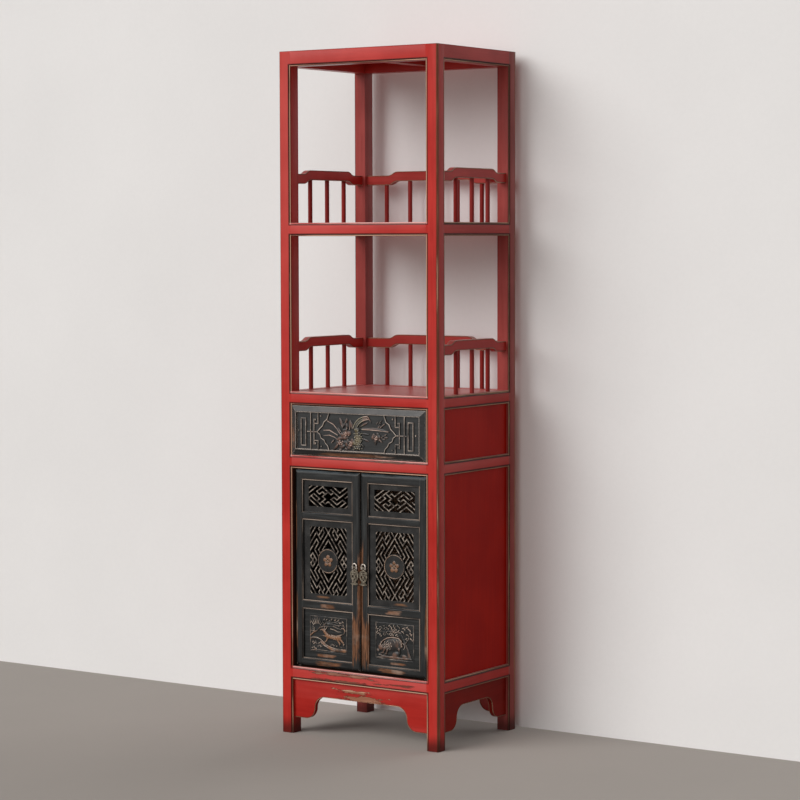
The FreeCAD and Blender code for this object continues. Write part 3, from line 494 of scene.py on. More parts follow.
    def bump(self, height: Value, distance: float, strength: float = 1.0,
             soft_edge: float = 0.0, swell: tuple[Value, float] | None = None) -> None:
        """Roughen the surface.

        Args:
            height: the relief, from 0 to 1.
            distance: how deep that is, in metres.
            strength: how much of it shows.
            soft_edge: how far sharp edges look rounded, in metres.
            swell: a broad relief under it, from 0 to 1, and how deep that is, in metres.
        """
        normal = self.rounded(soft_edge) if soft_edge else None
        reliefs = [(*swell, 1.0)] if swell else []
        for relief, deep, share in (*reliefs, (height, distance, strength)):
            node = self.new("Bump")
            node.inputs["Distance"].default_value = deep
            node.inputs["Strength"].default_value = share
            self.feed(node.inputs["Height"], relief)
            if normal:
                self.feed(node.inputs["Normal"], normal)
            normal = node.outputs[0]
        self.feed(self.shader.inputs["Normal"], normal)


@dataclass(frozen=True)
class RedLacquer:
    """Red lacquer over a dark ground, rubbed through to the wood along beads and corners."""

    name: str
    grain: Grain = Grain.UPRIGHT
    coat: Colour = (0.475, 0.029, 0.021)
    shade: Colour = (0.37, 0.017, 0.012)
    # Pale red for the random hazy bloom, and for the painted sheen at the front's upper left.
    bloom_and_sheen: Colour = (0.56, 0.094, 0.082)
    # Pale pink of the painted highlight on the beads along the rails' tops.
    top_highlight: Colour = (0.84, 0.44, 0.40)
    dust_and_sheen: Colour = (0.60, 0.54, 0.49)
    ground: Colour = (0.035, 0.006, 0.004)
    brown: Colour = (0.175, 0.055, 0.028)
    rust: Colour = (0.30, 0.13, 0.075)
    wood: Colour = (0.54, 0.31, 0.20)
    lining_dark: Colour = (0.030, 0.012, 0.008)
    lining_light: Colour = (0.055, 0.022, 0.013)
    spots: tuple[WornSpot, ...] = ()
    beaded: bool = True
    gloss: float = 0.12
    face: Face | None = None
    corner_wide: float = 3.0
    turn_wide: float = 4.5
    edge_wide: float = 2.8

    def bead_masks(self, graph: Graph) -> tuple[Value, Value, Value, Value]:
        """Find the beads by their depth under the frame's front and sides.

        Args:
            graph: the material being made.

        Returns:
            Sockets for the crests in front, the crests at the sides, the grooves, and the
            whole rounds of the beads along the tops of the front rails, which get a painted
            highlight.
        """
        depth = graph.plus(graph.y, -FRAME.front)
        across = graph.off(graph.x)
        open_x = FRAME.clear_wide + BEAD_SEAT
        open_front = FRAME.front + FRAME.post - BEAD_SEAT
        open_back = FRAME.back - FRAME.post + BEAD_SEAT
        in_front = graph.rise(across, open_x + 0.4, open_x)
        at_side = graph.times(graph.rise(graph.y, open_front - 0.4, open_front),
                              graph.rise(graph.y, open_back + 0.4, open_back))
        faces = ((in_front, depth), (at_side, graph.less(FRAME.side, across)))
        front_crest, side_crest = (graph.times(face, graph.band(measure, *BEAD_CREST, 0.12))
                                   for face, measure in faces)
        groove = graph.most(*(graph.times(face, graph.band(measure, *BEAD_GROOVE, 0.08))
                              for face, measure in faces))
        tops = graph.most(*(graph.band(graph.z, high + RAIL_BEAD[0], high + RAIL_BEAD[1], 0.4)
                            for _, high in FRAME.levels.values()))
        highlight_rounds = graph.times(in_front, tops, graph.band(depth, *BEAD_ROUND, 0.3))
        return front_crest, side_crest, groove, highlight_rounds

    def frame_corners(self, graph: Graph) -> Value:
        """Find the frame's own corners, leaving out the flush seams between post and rail.

        Args:
            graph: the material being made.

        Returns:
            A socket that is 0 on flats and rises towards corners.
        """
        seams = (graph.band(measure, clear - SEAM_HALF, clear + SEAM_HALF, 0.5)
                 for measure, clear in ((graph.off(graph.x), FRAME.clear_wide),
                                        (graph.off(graph.y, FRAME.middle), FRAME.clear_deep)))
        return graph.times(graph.corners(self.corner_wide * MM, 6),
                           graph.unless(graph.most(*seams)))

    def outlines(self, graph: Graph) -> Value:
        """Find a thin dark line on the flats, just outside every bead.

        Args:
            graph: the material being made.

        Returns:
            A socket that is 1 on the lines.
        """
        floors = [0.0] + [high for _, high in FRAME.levels.values()]
        roofs = [low for low, _ in FRAME.levels.values()]
        across, along = graph.off(graph.x), graph.off(graph.y, FRAME.middle)
        on_front = graph.rise(graph.y, FRAME.front + 0.6, FRAME.front + 0.3)
        on_side = graph.rise(across, FRAME.side - 0.6, FRAME.side - 0.3)
        lines = []
        for face, reach in ((on_front, graph.plus(across, -FRAME.clear_wide)),
                            (on_side, graph.plus(along, -FRAME.clear_deep))):
            for floor, roof in zip(floors, roofs):
                beyond = graph.most(reach, graph.plus(graph.z, -roof), graph.less(floor, graph.z))
                lines.append(graph.times(face, graph.band(beyond, *OUTLINE_BAND, 0.6)))
        return graph.most(*lines)

    def worn_corners(self, graph: Graph, rub: Value) -> Value:
        """Find the brown line down the frame's front and back corners, wider on its sides.

        Args:
            graph: the material being made.
            rub: the noise that breaks it up.

        Returns:
            A socket that is 1 on the line.
        """
        inwards = graph.less(FRAME.side, graph.off(graph.x))
        depth = graph.less(FRAME.half_deep, graph.off(graph.y, FRAME.middle))
        reach = graph.plus(graph.times(inwards, 3.0), depth, graph.sway(rub, 20.0))
        return graph.rise(reach, 11.5, 6.0)

    def crown(self, graph: Graph) -> Value:
        """Find where the lacquer lies thick.

        Args:
            graph: the material being made.

        Returns:
            A socket that is 1 along the middle of a face, and 0 at its two edges.
        """
        def swell(value: Value, low: float, high: float) -> Value:
            """Rise and fall between two places, in millimetres."""
            share = graph.math("MULTIPLY", graph.plus(value, -low), 1 / (high - low), clamp=True)
            return graph.times(share, graph.unless(share), 4.0)

        if self.grain is not Grain.UPRIGHT:
            return graph.plus(*(swell(graph.z, low + 3.0, high - 3.0)
                                for low, high in FRAME.levels.values()))
        on_front = swell(graph.off(graph.x), FRAME.clear_wide + 4.0, FRAME.side)
        on_side = swell(graph.off(graph.y, FRAME.middle), FRAME.clear_deep + 4.0, FRAME.half_deep)
        faces_front = graph.rise(graph.off(graph.facing["Y"]), 0.4, 0.6)
        return graph.plus(graph.times(faces_front, on_front),
                          graph.times(graph.unless(faces_front), on_side))

    def lining(self, graph: Graph) -> Value:
        """Find the faces inside the cupboard and round the drawer.

        Args:
            graph: the material being made.

        Returns:
            A socket that is 1 inside.
        """
        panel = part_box("cupboard_right_panel")[0].x / MM
        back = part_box("cupboard_back_panel")[0].y / MM
        return graph.times(
            graph.rise(graph.off(graph.x), panel + 0.6, panel + 0.3),
            graph.band(graph.y, FRAME.front + 4.6, back + 1.0, 0.3),
            graph.band(graph.z, FRAME.levels["bottom"][0] + 4.0,
                       FRAME.levels["lower_shelf"][0] + 8.0, 0.3),
        )

    def lay_coat(self, graph: Graph, clouds: Value, streaks: Value) -> None:
        """Paint the cloudy red, paler where hazy, with a painted sheen at the front's upper left.

        Args:
            graph: the material being made.
            clouds: its broad noise.
            streaks: its fine noise along the grain.
        """
        tone = graph.plus(graph.times(clouds, 0.65), graph.times(streaks, 0.35))
        graph.colour = graph.tint(tone, 0.35, 0.68, self.shade, self.coat)
        haze = graph.rise(graph.noise(9.0, 3.0, self.grain, 0.6), 0.48, 0.72)
        graph.paint(self.bloom_and_sheen, haze, 0.6)
        # Painted sheen: the front is painted paler towards its upper left, where the window light
        # falls.
        graph.paint(self.bloom_and_sheen, graph.rise(graph.z, *SHEEN_UP), graph.rise(graph.x, *SHEEN_ACROSS),
                    graph.rise(graph.y, FRAME.front + 3.0, FRAME.front + 1.0),
                    graph.plus(0.15, graph.times(clouds, 0.6)))
        scuffs = graph.rise(graph.noise(55.0, 5.0, self.grain, 0.75), 0.66, 0.72)
        graph.paint(self.ground, scuffs, 0.35)

    def wear_edges(self, graph: Graph, rub: Value) -> Value:
        """Rub the corners through to the ground and the wood.

        Args:
            graph: the material being made.
            rub: the noise that breaks the wear up.

        Returns:
            The socket that finds the corners.
        """
        if self.beaded:
            sharp = self.frame_corners(graph)
        elif self.face:
            sharp = graph.times(graph.turning(self.turn_wide * MM, 8, self.face), 0.6)
        else:
            sharp = graph.edges(self.edge_wide * MM, 6)
        uneven = graph.plus(sharp, graph.sway(rub, 0.16))
        graph.paint(self.ground, graph.rise(uneven, 0.02, 0.07), 0.9)
        graph.paint(self.brown, graph.rise(uneven, 0.12, 0.2))
        if self.face:
            graph.paint(graph.tint(rub, 0.40, 0.55, self.rust, self.wood),
                        graph.rise(uneven, 0.24, 0.32))
        return sharp

    def wear_beads(self, graph: Graph, rub: Value, streaks: Value) -> None:
        """Draw the beads: dark grooves, rubbed crests, brown corner lines, and painted highlights.

        Args:
            graph: the material being made.
            rub: the noise that breaks the wear up.
            streaks: the fine noise along the grain.
        """
        graph.paint(self.ground, self.outlines(graph), graph.plus(0.35, graph.times(rub, 0.8)))
        graph.paint(graph.tint(streaks, 0.45, 0.7, self.brown, self.rust),
                    self.worn_corners(graph, rub), 0.85)
        front_crest, side_crest, groove, highlight_rounds = self.bead_masks(graph)
        graph.paint(self.ground, groove, 0.95)
        graph.paint(graph.tint(rub, 0.36, 0.48, self.brown, self.wood), front_crest)
        # Painted highlight: the rounds along the rails' tops are painted pale pink, broken by
        # noise.
        graph.paint(graph.tint(rub, 0.34, 0.56, self.coat, self.top_highlight), highlight_rounds, 0.9)
        graph.paint(graph.tint(rub, 0.44, 0.60, self.rust, self.wood), side_crest)

    def make(self) -> bpy.types.Material:
        """Make the material.

        Returns:
            The material.
        """
        graph = Graph(self.name)
        clouds = graph.noise(7.0, 3.0)
        streaks = graph.noise(150.0, 3.0, self.grain)
        rub = graph.noise(30.0, 5.0, self.grain, 0.7)
        self.lay_coat(graph, clouds, streaks)
        sharp = self.wear_edges(graph, rub)
        if self.beaded:
            self.wear_beads(graph, rub, streaks)
        graph.paint(self.wood, graph.rise(sharp, 0.06, 0.2), graph.rise(rub, 0.56, 0.64))
        if self.spots:
            patches = graph.patches(self.spots, graph.noise(95.0, 6.0, Grain.RAGGED, 0.75))
            graph.paint(self.ground, graph.rise(patches, 0.05, 0.4), 0.8)
            graph.paint(graph.tint(streaks, 0.46, 0.64, self.rust, self.wood),
                        graph.rise(patches, 0.3, 0.85), 0.9)
        # Up-facing faces are painted paler: part dust, part a painted sheen of the light from
        # above.
        graph.paint(self.dust_and_sheen, graph.rise(graph.facing["Z"], 0.6, 0.97),
                    graph.plus(0.08, graph.times(clouds, 0.22)))
        # Darker towards the floor, its upper edge broken by noise.
        low_down = graph.rise(graph.plus(graph.z, graph.times(rub, 30.0)), *LOW_DARKENING)
        graph.paint(self.ground, low_down, 0.8)
        graph.paint(graph.mix(streaks, self.lining_dark, self.lining_light), self.lining(graph))
        graph.polish(graph.plus(0.22, graph.times(clouds, 0.26)), self.gloss)
        graph.bump(graph.plus(graph.times(streaks, 0.5), graph.times(clouds, 0.5)), 0.3 * MM, 0.35,
                   0.8 * MM, (self.crown(graph), 0.8 * MM) if self.beaded else None)
        return graph.material


@dataclass(frozen=True)
class BlackLacquer:
    """Black lacquer with a cool sheen, rubbed to brown wood on edges and in patches."""

    name: str
    grain: Grain = Grain.UPRIGHT
    coat: Colour = (0.0100, 0.0104, 0.0102)
    brown: Colour = (0.22, 0.092, 0.042)
    pale: Colour = (0.44, 0.33, 0.26)
    dust_and_sheen: Colour = (0.16, 0.195, 0.215)
    edge_wide: float = 1.6
    rubbed: float = 0.4
    bead_face: float | None = None
    seams: tuple[float, ...] = ()
    spots: tuple[WornSpot, ...] = ()
    gloss: float = 0.23

    def draw_beads(self, graph: Graph, rub: Value) -> None:
        """Draw the fine line round a door's openings: a dark groove and a rubbed crest.

        Args:
            graph: the material being made.
            rub: the noise that breaks the wear up.
        """
        depth = graph.plus(graph.y, -self.bead_face)
        place = graph.times(graph.band(graph.off(graph.x), *DOOR_BEADS_ACROSS, 0.5),
                            graph.band(graph.z, *DOOR_BEADS_UP, 0.5))
        graph.paint(scaled(self.coat, 0.4), place, graph.band(depth, *DOOR_GROOVE, 0.1))
        graph.paint(self.pale, place, graph.band(depth, *DOOR_CREST, 0.1),
                    graph.rise(rub, 0.36, 0.60), 0.8)

    def make(self) -> bpy.types.Material:
        """Make the material.

        Returns:
            The material.
        """
        graph = Graph(self.name)
        clouds = graph.noise(12.0, 4.0)
        streaks = graph.noise(200.0, 3.0, self.grain)
        rub = graph.noise(40.0, 5.0, self.grain, 0.7)
        sharp = graph.edges(self.edge_wide * MM, 6)
        for seam in self.seams:
            at_seam = graph.band(graph.off(graph.x), seam - DOOR_SEAM_HALF,
                                 seam + DOOR_SEAM_HALF, 0.3)
            sharp = graph.times(sharp, graph.unless(at_seam))
        graph.colour = graph.tint(streaks, 0.42, 0.8, self.coat, scaled(self.coat, 3.0))
        # Up-facing faces are painted a cool grey: part dust, part a painted sheen of the sky.
        graph.paint(self.dust_and_sheen, graph.rise(graph.facing["Z"], 0.2, 0.85),
                    graph.rise(clouds, 0.3, 0.62), 0.75)
        graph.paint(self.brown, graph.rise(sharp, 0.01, 0.08), 0.55)
        kept = 0.35 * self.rubbed
        graph.paint(self.pale, graph.rise(sharp, 0.02, 0.12),
                    graph.rise(rub, 0.58 - kept, 0.70 - kept))
        if self.bead_face is not None:
            self.draw_beads(graph, rub)
        if self.spots:
            patches = graph.patches(self.spots, graph.noise(34.0, 6.0, self.grain, 0.78))
            fibres = graph.noise(520.0, 4.0, self.grain, 0.7)
            worn = graph.tint(fibres, 0.36, 0.62, scaled(self.brown, 0.22), self.brown)
            worn = graph.mix(graph.times(graph.rise(clouds, 0.52, 0.7), 0.5), worn, self.pale)
            graph.paint(worn, graph.rise(patches, 0.1, 0.8), 0.92)
        graph.polish(graph.plus(0.24, graph.times(clouds, 0.3)), self.gloss)
        graph.bump(graph.plus(graph.times(streaks, 0.7), graph.times(clouds, 0.3)), 0.3 * MM, 0.4,
                   0.5 * MM)
        return graph.material


@dataclass(frozen=True)
class FretLacquer:
    """Black lacquer on a pierced panel; its bars' fronts are worn pale and get painted highlights.
    """

    name: str
    low: Place
    high: Place
    disc: float = 0.0
    coat: Colour = (0.010, 0.0095, 0.009)
    brown: Colour = (0.045, 0.030, 0.022)
    pale: Colour = (0.36, 0.30, 0.245)
    worn: Colour = (0.16, 0.075, 0.035)
    spots: tuple[WornSpot, ...] = ()
    gloss: float = 0.22

    def pierced(self, graph: Graph) -> Value:
        """Find the pierced field, without the disc in it.

        Args:
            graph: the material being made.

        Returns:
            A socket that is 1 on the bars.
        """
        inside = graph.times(graph.band(graph.x, self.low[0], self.high[0], 0.2),
                             graph.band(graph.z, self.low[1], self.high[1], 0.2))
        if not self.disc:
            return inside
        off_x = graph.plus(graph.x, -(self.low[0] + self.high[0]) / 2)
        off_z = graph.plus(graph.z, -(self.low[1] + self.high[1]) / 2)
        squares = graph.plus(graph.times(off_x, off_x), graph.times(off_z, off_z))
        reach = graph.math("POWER", squares, 0.5)
        return graph.times(inside, graph.rise(reach, self.disc, self.disc + 0.3))

    def make(self) -> bpy.types.Material:
        """Make the material.

        Returns:
            The material.
        """
        graph = Graph(self.name)
        clouds = graph.noise(30.0, 4.0)
        rub = graph.noise(130.0, 4.0, Grain.EVEN, 0.65)
        inside = self.pierced(graph)
        bars = graph.times(graph.rise(graph.facing["Y"], -0.6, -0.9), inside)
        # Painted highlight and shade: pale on each bar's middle, brown left at its edges.
        crown = graph.rise(graph.corners(1.8 * MM, 8, "Y"), 0.085, 0.01)
        graph.colour = graph.tint(clouds, 0.4, 0.7, self.coat, scaled(self.coat, 2.6))
        graph.paint(self.brown, bars, 0.6)
        graph.paint(self.pale, graph.times(bars, crown), graph.rise(rub, 0.38, 0.66))
        if self.spots:
            patches = graph.patches(self.spots, graph.noise(30.0, 5.0, Grain.ALONG_X, 0.7))
            graph.paint(self.worn, patches, graph.unless(inside))
        graph.polish(graph.plus(0.28, graph.times(clouds, 0.3)), self.gloss)
        graph.bump(clouds, 0.2 * MM, 0.4, 0.9 * MM)
        return graph.material


@dataclass(frozen=True)
class CarvedLacquer:
    """Black lacquer on carving, rubbed brown where raised; painted highlights on ridges, painted
    shade in hollows.
    """

    name: str
    ground: float
    high: float
    coat: Colour = (0.012, 0.011, 0.0105)
    brown: Colour = (0.19, 0.088, 0.042)
    pale: Colour = (0.62, 0.47, 0.35)
    gilt: Range | None = None
    gilt_brown: Colour = (0.120, 0.092, 0.046)
    gilt_pale: Colour = (0.56, 0.50, 0.37)
    gloss: float = 0.4

    def make(self) -> bpy.types.Material:
        """Make the material.

        Returns:
            The material.
        """
        graph = Graph(self.name)
        clouds = graph.noise(34.0, 4.0)
        fine = graph.noise(300.0, 3.0)
        top = self.high
        lift = graph.plus(graph.less(self.ground, graph.y), graph.sway(clouds, top * 1.6))
        brown, pale = self.brown, self.pale
        if self.gilt:
            middle, half = self.gilt
            gilded = graph.rise(graph.off(graph.x, middle), half + 4.0, half - 2.0)
            brown = graph.mix(gilded, brown, self.gilt_brown)
            pale = graph.mix(gilded, pale, self.gilt_pale)
        graph.colour = graph.tint(lift, 0.25 * top, 0.85 * top, self.coat, brown)
        # Part wear, part painted highlight: the ridges are painted pale where they stand high.
        ridge = graph.plus(graph.ridges(), graph.sway(fine, 0.05))
        graph.paint(pale, graph.rise(ridge, 0.51, 0.56), graph.rise(lift, 0.1 * top, 0.75 * top))
        # Painted shade: the hollows are painted darker still.
        graph.paint(scaled(self.coat, 0.4), graph.rise(graph.ridges(), 0.495, 0.44), 0.9)
        graph.polish(graph.plus(0.26, graph.times(clouds, 0.3)), self.gloss)
        graph.bump(graph.plus(fine, clouds), 0.25 * MM, 0.5)
        return graph.material


@dataclass(frozen=True)
class BareWood:
    """Plain oiled softwood, for what lacquer doesn't reach."""

    name: str
    grain: Grain = Grain.UPRIGHT
    light: Colour = (0.36, 0.21, 0.12)
    dark: Colour = (0.20, 0.10, 0.055)

    def make(self) -> bpy.types.Material:
        """Make the material.

        Returns:
            The material.
        """
        graph = Graph(self.name)
        rings = graph.noise(70.0, 4.0, self.grain, 0.6)
        pores = graph.noise(420.0, 2.0, self.grain)
        wave = graph.math("SINE", graph.times(rings, 55.0))
        tone = graph.plus(graph.times(wave, 0.25), graph.times(pores, 0.8))
        graph.colour = graph.tint(tone, 0.1, 0.8, self.dark, self.light)
        graph.polish(0.6)
        graph.bump(tone, 0.3 * MM, 0.5, 0.5 * MM)
        return graph.material


@dataclass(frozen=True)
class AgedMetal:
    """Pale brass gone dull, dark where hands don't reach."""

    name: str
    bright: Colour = (0.27, 0.235, 0.18)
    dull: Colour = (0.050, 0.040, 0.029)

    def make(self) -> bpy.types.Material:
        """Make the material.

        Returns:
            The material.
        """
        graph = Graph(self.name)
        clouds = graph.noise(180.0, 4.0)
        fine = graph.noise(900.0, 2.0)
        tone = graph.plus(graph.times(clouds, 0.8), graph.times(graph.edges(0.6 * MM), 1.5),
                          graph.times(fine, 0.2))
        graph.colour = graph.tint(tone, 0.35, 0.75, self.dull, self.bright)
        graph.polish(graph.plus(0.3, graph.times(clouds, 0.3)), metallic=0.9)
        graph.bump(graph.plus(clouds, fine), 0.15 * MM, 0.5, 0.3 * MM)
        return graph.material


def dress(node: str, material: bpy.types.Material) -> None:
    """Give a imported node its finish.

    Args:
        node: the node's name.
        material: the finish.
    """
    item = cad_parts[node]
    item.data.materials.clear()
    item.data.materials.append(material)
    log.info("dressed %s in %s", node, material.name)


class Form:
    """A form one unit in size, made once and placed many times."""

    def __init__(self, name: str, mesh: bmesh.types.BMesh) -> None:
        """Keep a form.

        Args:
            name: what it is called.
            mesh: the form, which is freed.
        """
        self.mesh = bpy.data.meshes.new(name)
        mesh.to_mesh(self.mesh)
        mesh.free()

    @classmethod
    def ball(cls) -> "Form":
        """Make a ball of radius one.

        Returns:
            The ball.
        """
        mesh = bmesh.new()
        bmesh.ops.create_uvsphere(mesh, u_segments=18, v_segments=10, radius=1.0)
        return cls("ball_form", mesh)

    @classmethod
    def rod(cls) -> "Form":
        """Make a rod of radius one that runs up from nought to one.

        Returns:
            The rod.
        """
        mesh = bmesh.new()
        bmesh.ops.create_cone(mesh, cap_ends=True, segments=12, radius1=1.0, radius2=1.0,
                              depth=1.0, matrix=Matrix.Translation((0, 0, 0.5)))
        return cls("rod_form", mesh)

    @classmethod
    def block(cls) -> "Form":
        """Make a block one unit wide each way, its front edges drawn in a little.

        Returns:
            The block.
        """
        mesh = bmesh.new()
        bmesh.ops.create_cube(mesh, size=1.0)
        front = [edge for edge in mesh.edges if all(corner.co.y < 0 for corner in edge.verts)]
        bmesh.ops.bevel(mesh, geom=front, offset=0.16, segments=2, profile=0.5, affect="EDGES",
                        material=-1)
        return cls("block_form", mesh)


BALL, ROD, BLOCK = Form.ball(), Form.rod(), Form.block()


class Carving:
    """Relief cut in a board that faces the front, built from rounded and square forms."""

    def __init__(self, name: str, body: str, centre: Vector, slot: str = "black_lacquer") -> None:
        """Start a carving.

        Args:
            name: the piece's name.
            body: the body it moves with.
            centre: the middle of its ground, on the surface of the board.
            slot: not used.
        """
        self.name, self.body, self.centre, self.slot = name, body, centre, slot
        self.mesh = bmesh.new()

    def add(self, form: Form, place: Matrix, taper: float = 1.0) -> None:
        """Place a form.

        Args:
            form: the form.
            place: where it goes, in millimetres from the ground's middle.
            taper: the share of its width that is left at its upper end.
        """
        start = len(self.mesh.verts)
        self.mesh.from_mesh(form.mesh)
        self.mesh.verts.ensure_lookup_table()
        for corner in self.mesh.verts[start:]:
            share = 1.0 + (taper - 1.0) * corner.co.z
            spot = place @ Vector((corner.co.x * share, corner.co.y * share, corner.co.z))
            corner.co = self.centre + spot * MM

    def dab(self, x: float, z: float, wide: float, tall: float, high: float,
            turn: float = 0.0) -> None:
        """Add a rounded lump.

        Args:
            x: middle, across.
            z: middle, up.
            wide: length along its own first way.
            tall: length along its own second way.
            high: how far it stands out of the ground.
            turn: degrees from level, anticlockwise as the board is faced.
        """
        self.add(BALL, Matrix.Translation((x, 0, z)) @ Matrix.Rotation(-math.radians(turn), 4, "Y")
                 @ Matrix.Diagonal((wide / 2, high, tall / 2, 1.0)))

    def stroke(self, path: list[Place], widths: Range, high: float) -> None:
        """Add a rounded, tapering line.

        Args:
            path: its points, across and up.
            widths: its width at the start and at the end.
            high: how far its start stands out of the ground.
        """
        steps = len(path) - 1
        squash = Matrix.Diagonal((1.0, high / max(widths) * 2, 1.0, 1.0))
        for index, (start, end) in enumerate(zip(path, path[1:])):
            first, second = (widths[0] + (widths[1] - widths[0]) * (index + more) / steps
                             for more in (0, 1))
            start, end = (Vector((x, 0.0, z)) for x, z in (start, end))
            way = (end - start).to_track_quat("Z", "Y").to_matrix().to_4x4()
            size = Matrix.Diagonal((first / 2, first / 2, (end - start).length, 1.0))
            self.add(ROD, squash @ Matrix.Translation(start) @ way @ size, second / first)
            for spot, width in ((start, first), (end, second)):
                self.add(BALL, squash @ Matrix.Translation(spot) @ Matrix.Scale(width / 2, 4))

    def fillet(self, path: list[Place], width: float, high: float, closed: bool = False) -> None:
        """Add a square-edged line.

        Args:
            path: its points, across and up.
            width: how wide it is.
            high: how far it stands out of the ground.
            closed: whether its end meets its start.
        """
        ends = path[1:] + path[:1] if closed else path[1:]
        for (x, z), (end_x, end_z) in zip(path, ends):
            run = Vector((end_x - x, 0.0, end_z - z))
            turn = Matrix.Rotation(-math.atan2(run.z, run.x), 4, "Y")
            size = Matrix.Diagonal((run.length + width, high + 1.0, width, 1.0))
            middle = Matrix.Translation(((x + end_x) / 2, (1.0 - high) / 2, (z + end_z) / 2))
            self.add(BLOCK, middle @ turn @ size)

    def draw(self, high: float, *marks: tuple) -> None:
        """Add several lines and lumps in their order.

        Args:
            high: what their heights are shares of, in millimetres.
            marks: a list of points, the widths at both ends and the share of a line, or the
                place, the length and breadth, the share and perhaps the turn of a lump.
        """
        for place, size, share, *turn in marks:
            if isinstance(place, list):
                self.stroke(place, size, high * share)
            else:
                self.dab(*place, *size, high * share, *turn)

    def finish(self, material: bpy.types.Material, melt: float, soften: int) -> None:
        """Let the forms grow together into one piece.

        Args:
            material: its finish.
            melt: the grain of its skin, in millimetres.
            soften: how many times the skin is smoothed.
        """
        rough = bpy.data.meshes.new(f"{self.name}_forms")
        self.mesh.to_mesh(rough)
        self.mesh.free()
        item = bpy.data.objects.new(self.name, rough)
        bpy.context.scene.collection.objects.link(item)
        remesh = item.modifiers.new("melt", "REMESH")
        remesh.mode = "VOXEL"
        remesh.voxel_size = melt * MM
        remesh.use_smooth_shade = True
        smooth = item.modifiers.new("soften", "SMOOTH")
        smooth.factor = 0.5
        smooth.iterations = soften
        bpy.context.view_layer.update()
        melted = item.evaluated_get(bpy.context.evaluated_depsgraph_get())
        skin = bpy.data.meshes.new_from_object(melted)
        item.modifiers.clear()
        item.data = skin
        bpy.data.meshes.remove(rough)
        skin.name = self.name
        skin.materials.clear()
        skin.materials.append(material)
        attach(item, self.body)
        log.info("carved %s, %d faces", self.name, len(skin.polygons))


@dataclass(frozen=True)
class Lamp:
    """A soft lamp far away: its strength, its width in degrees and the way it shines."""

    name: str
    strength: float
    angle: float
    way: Point


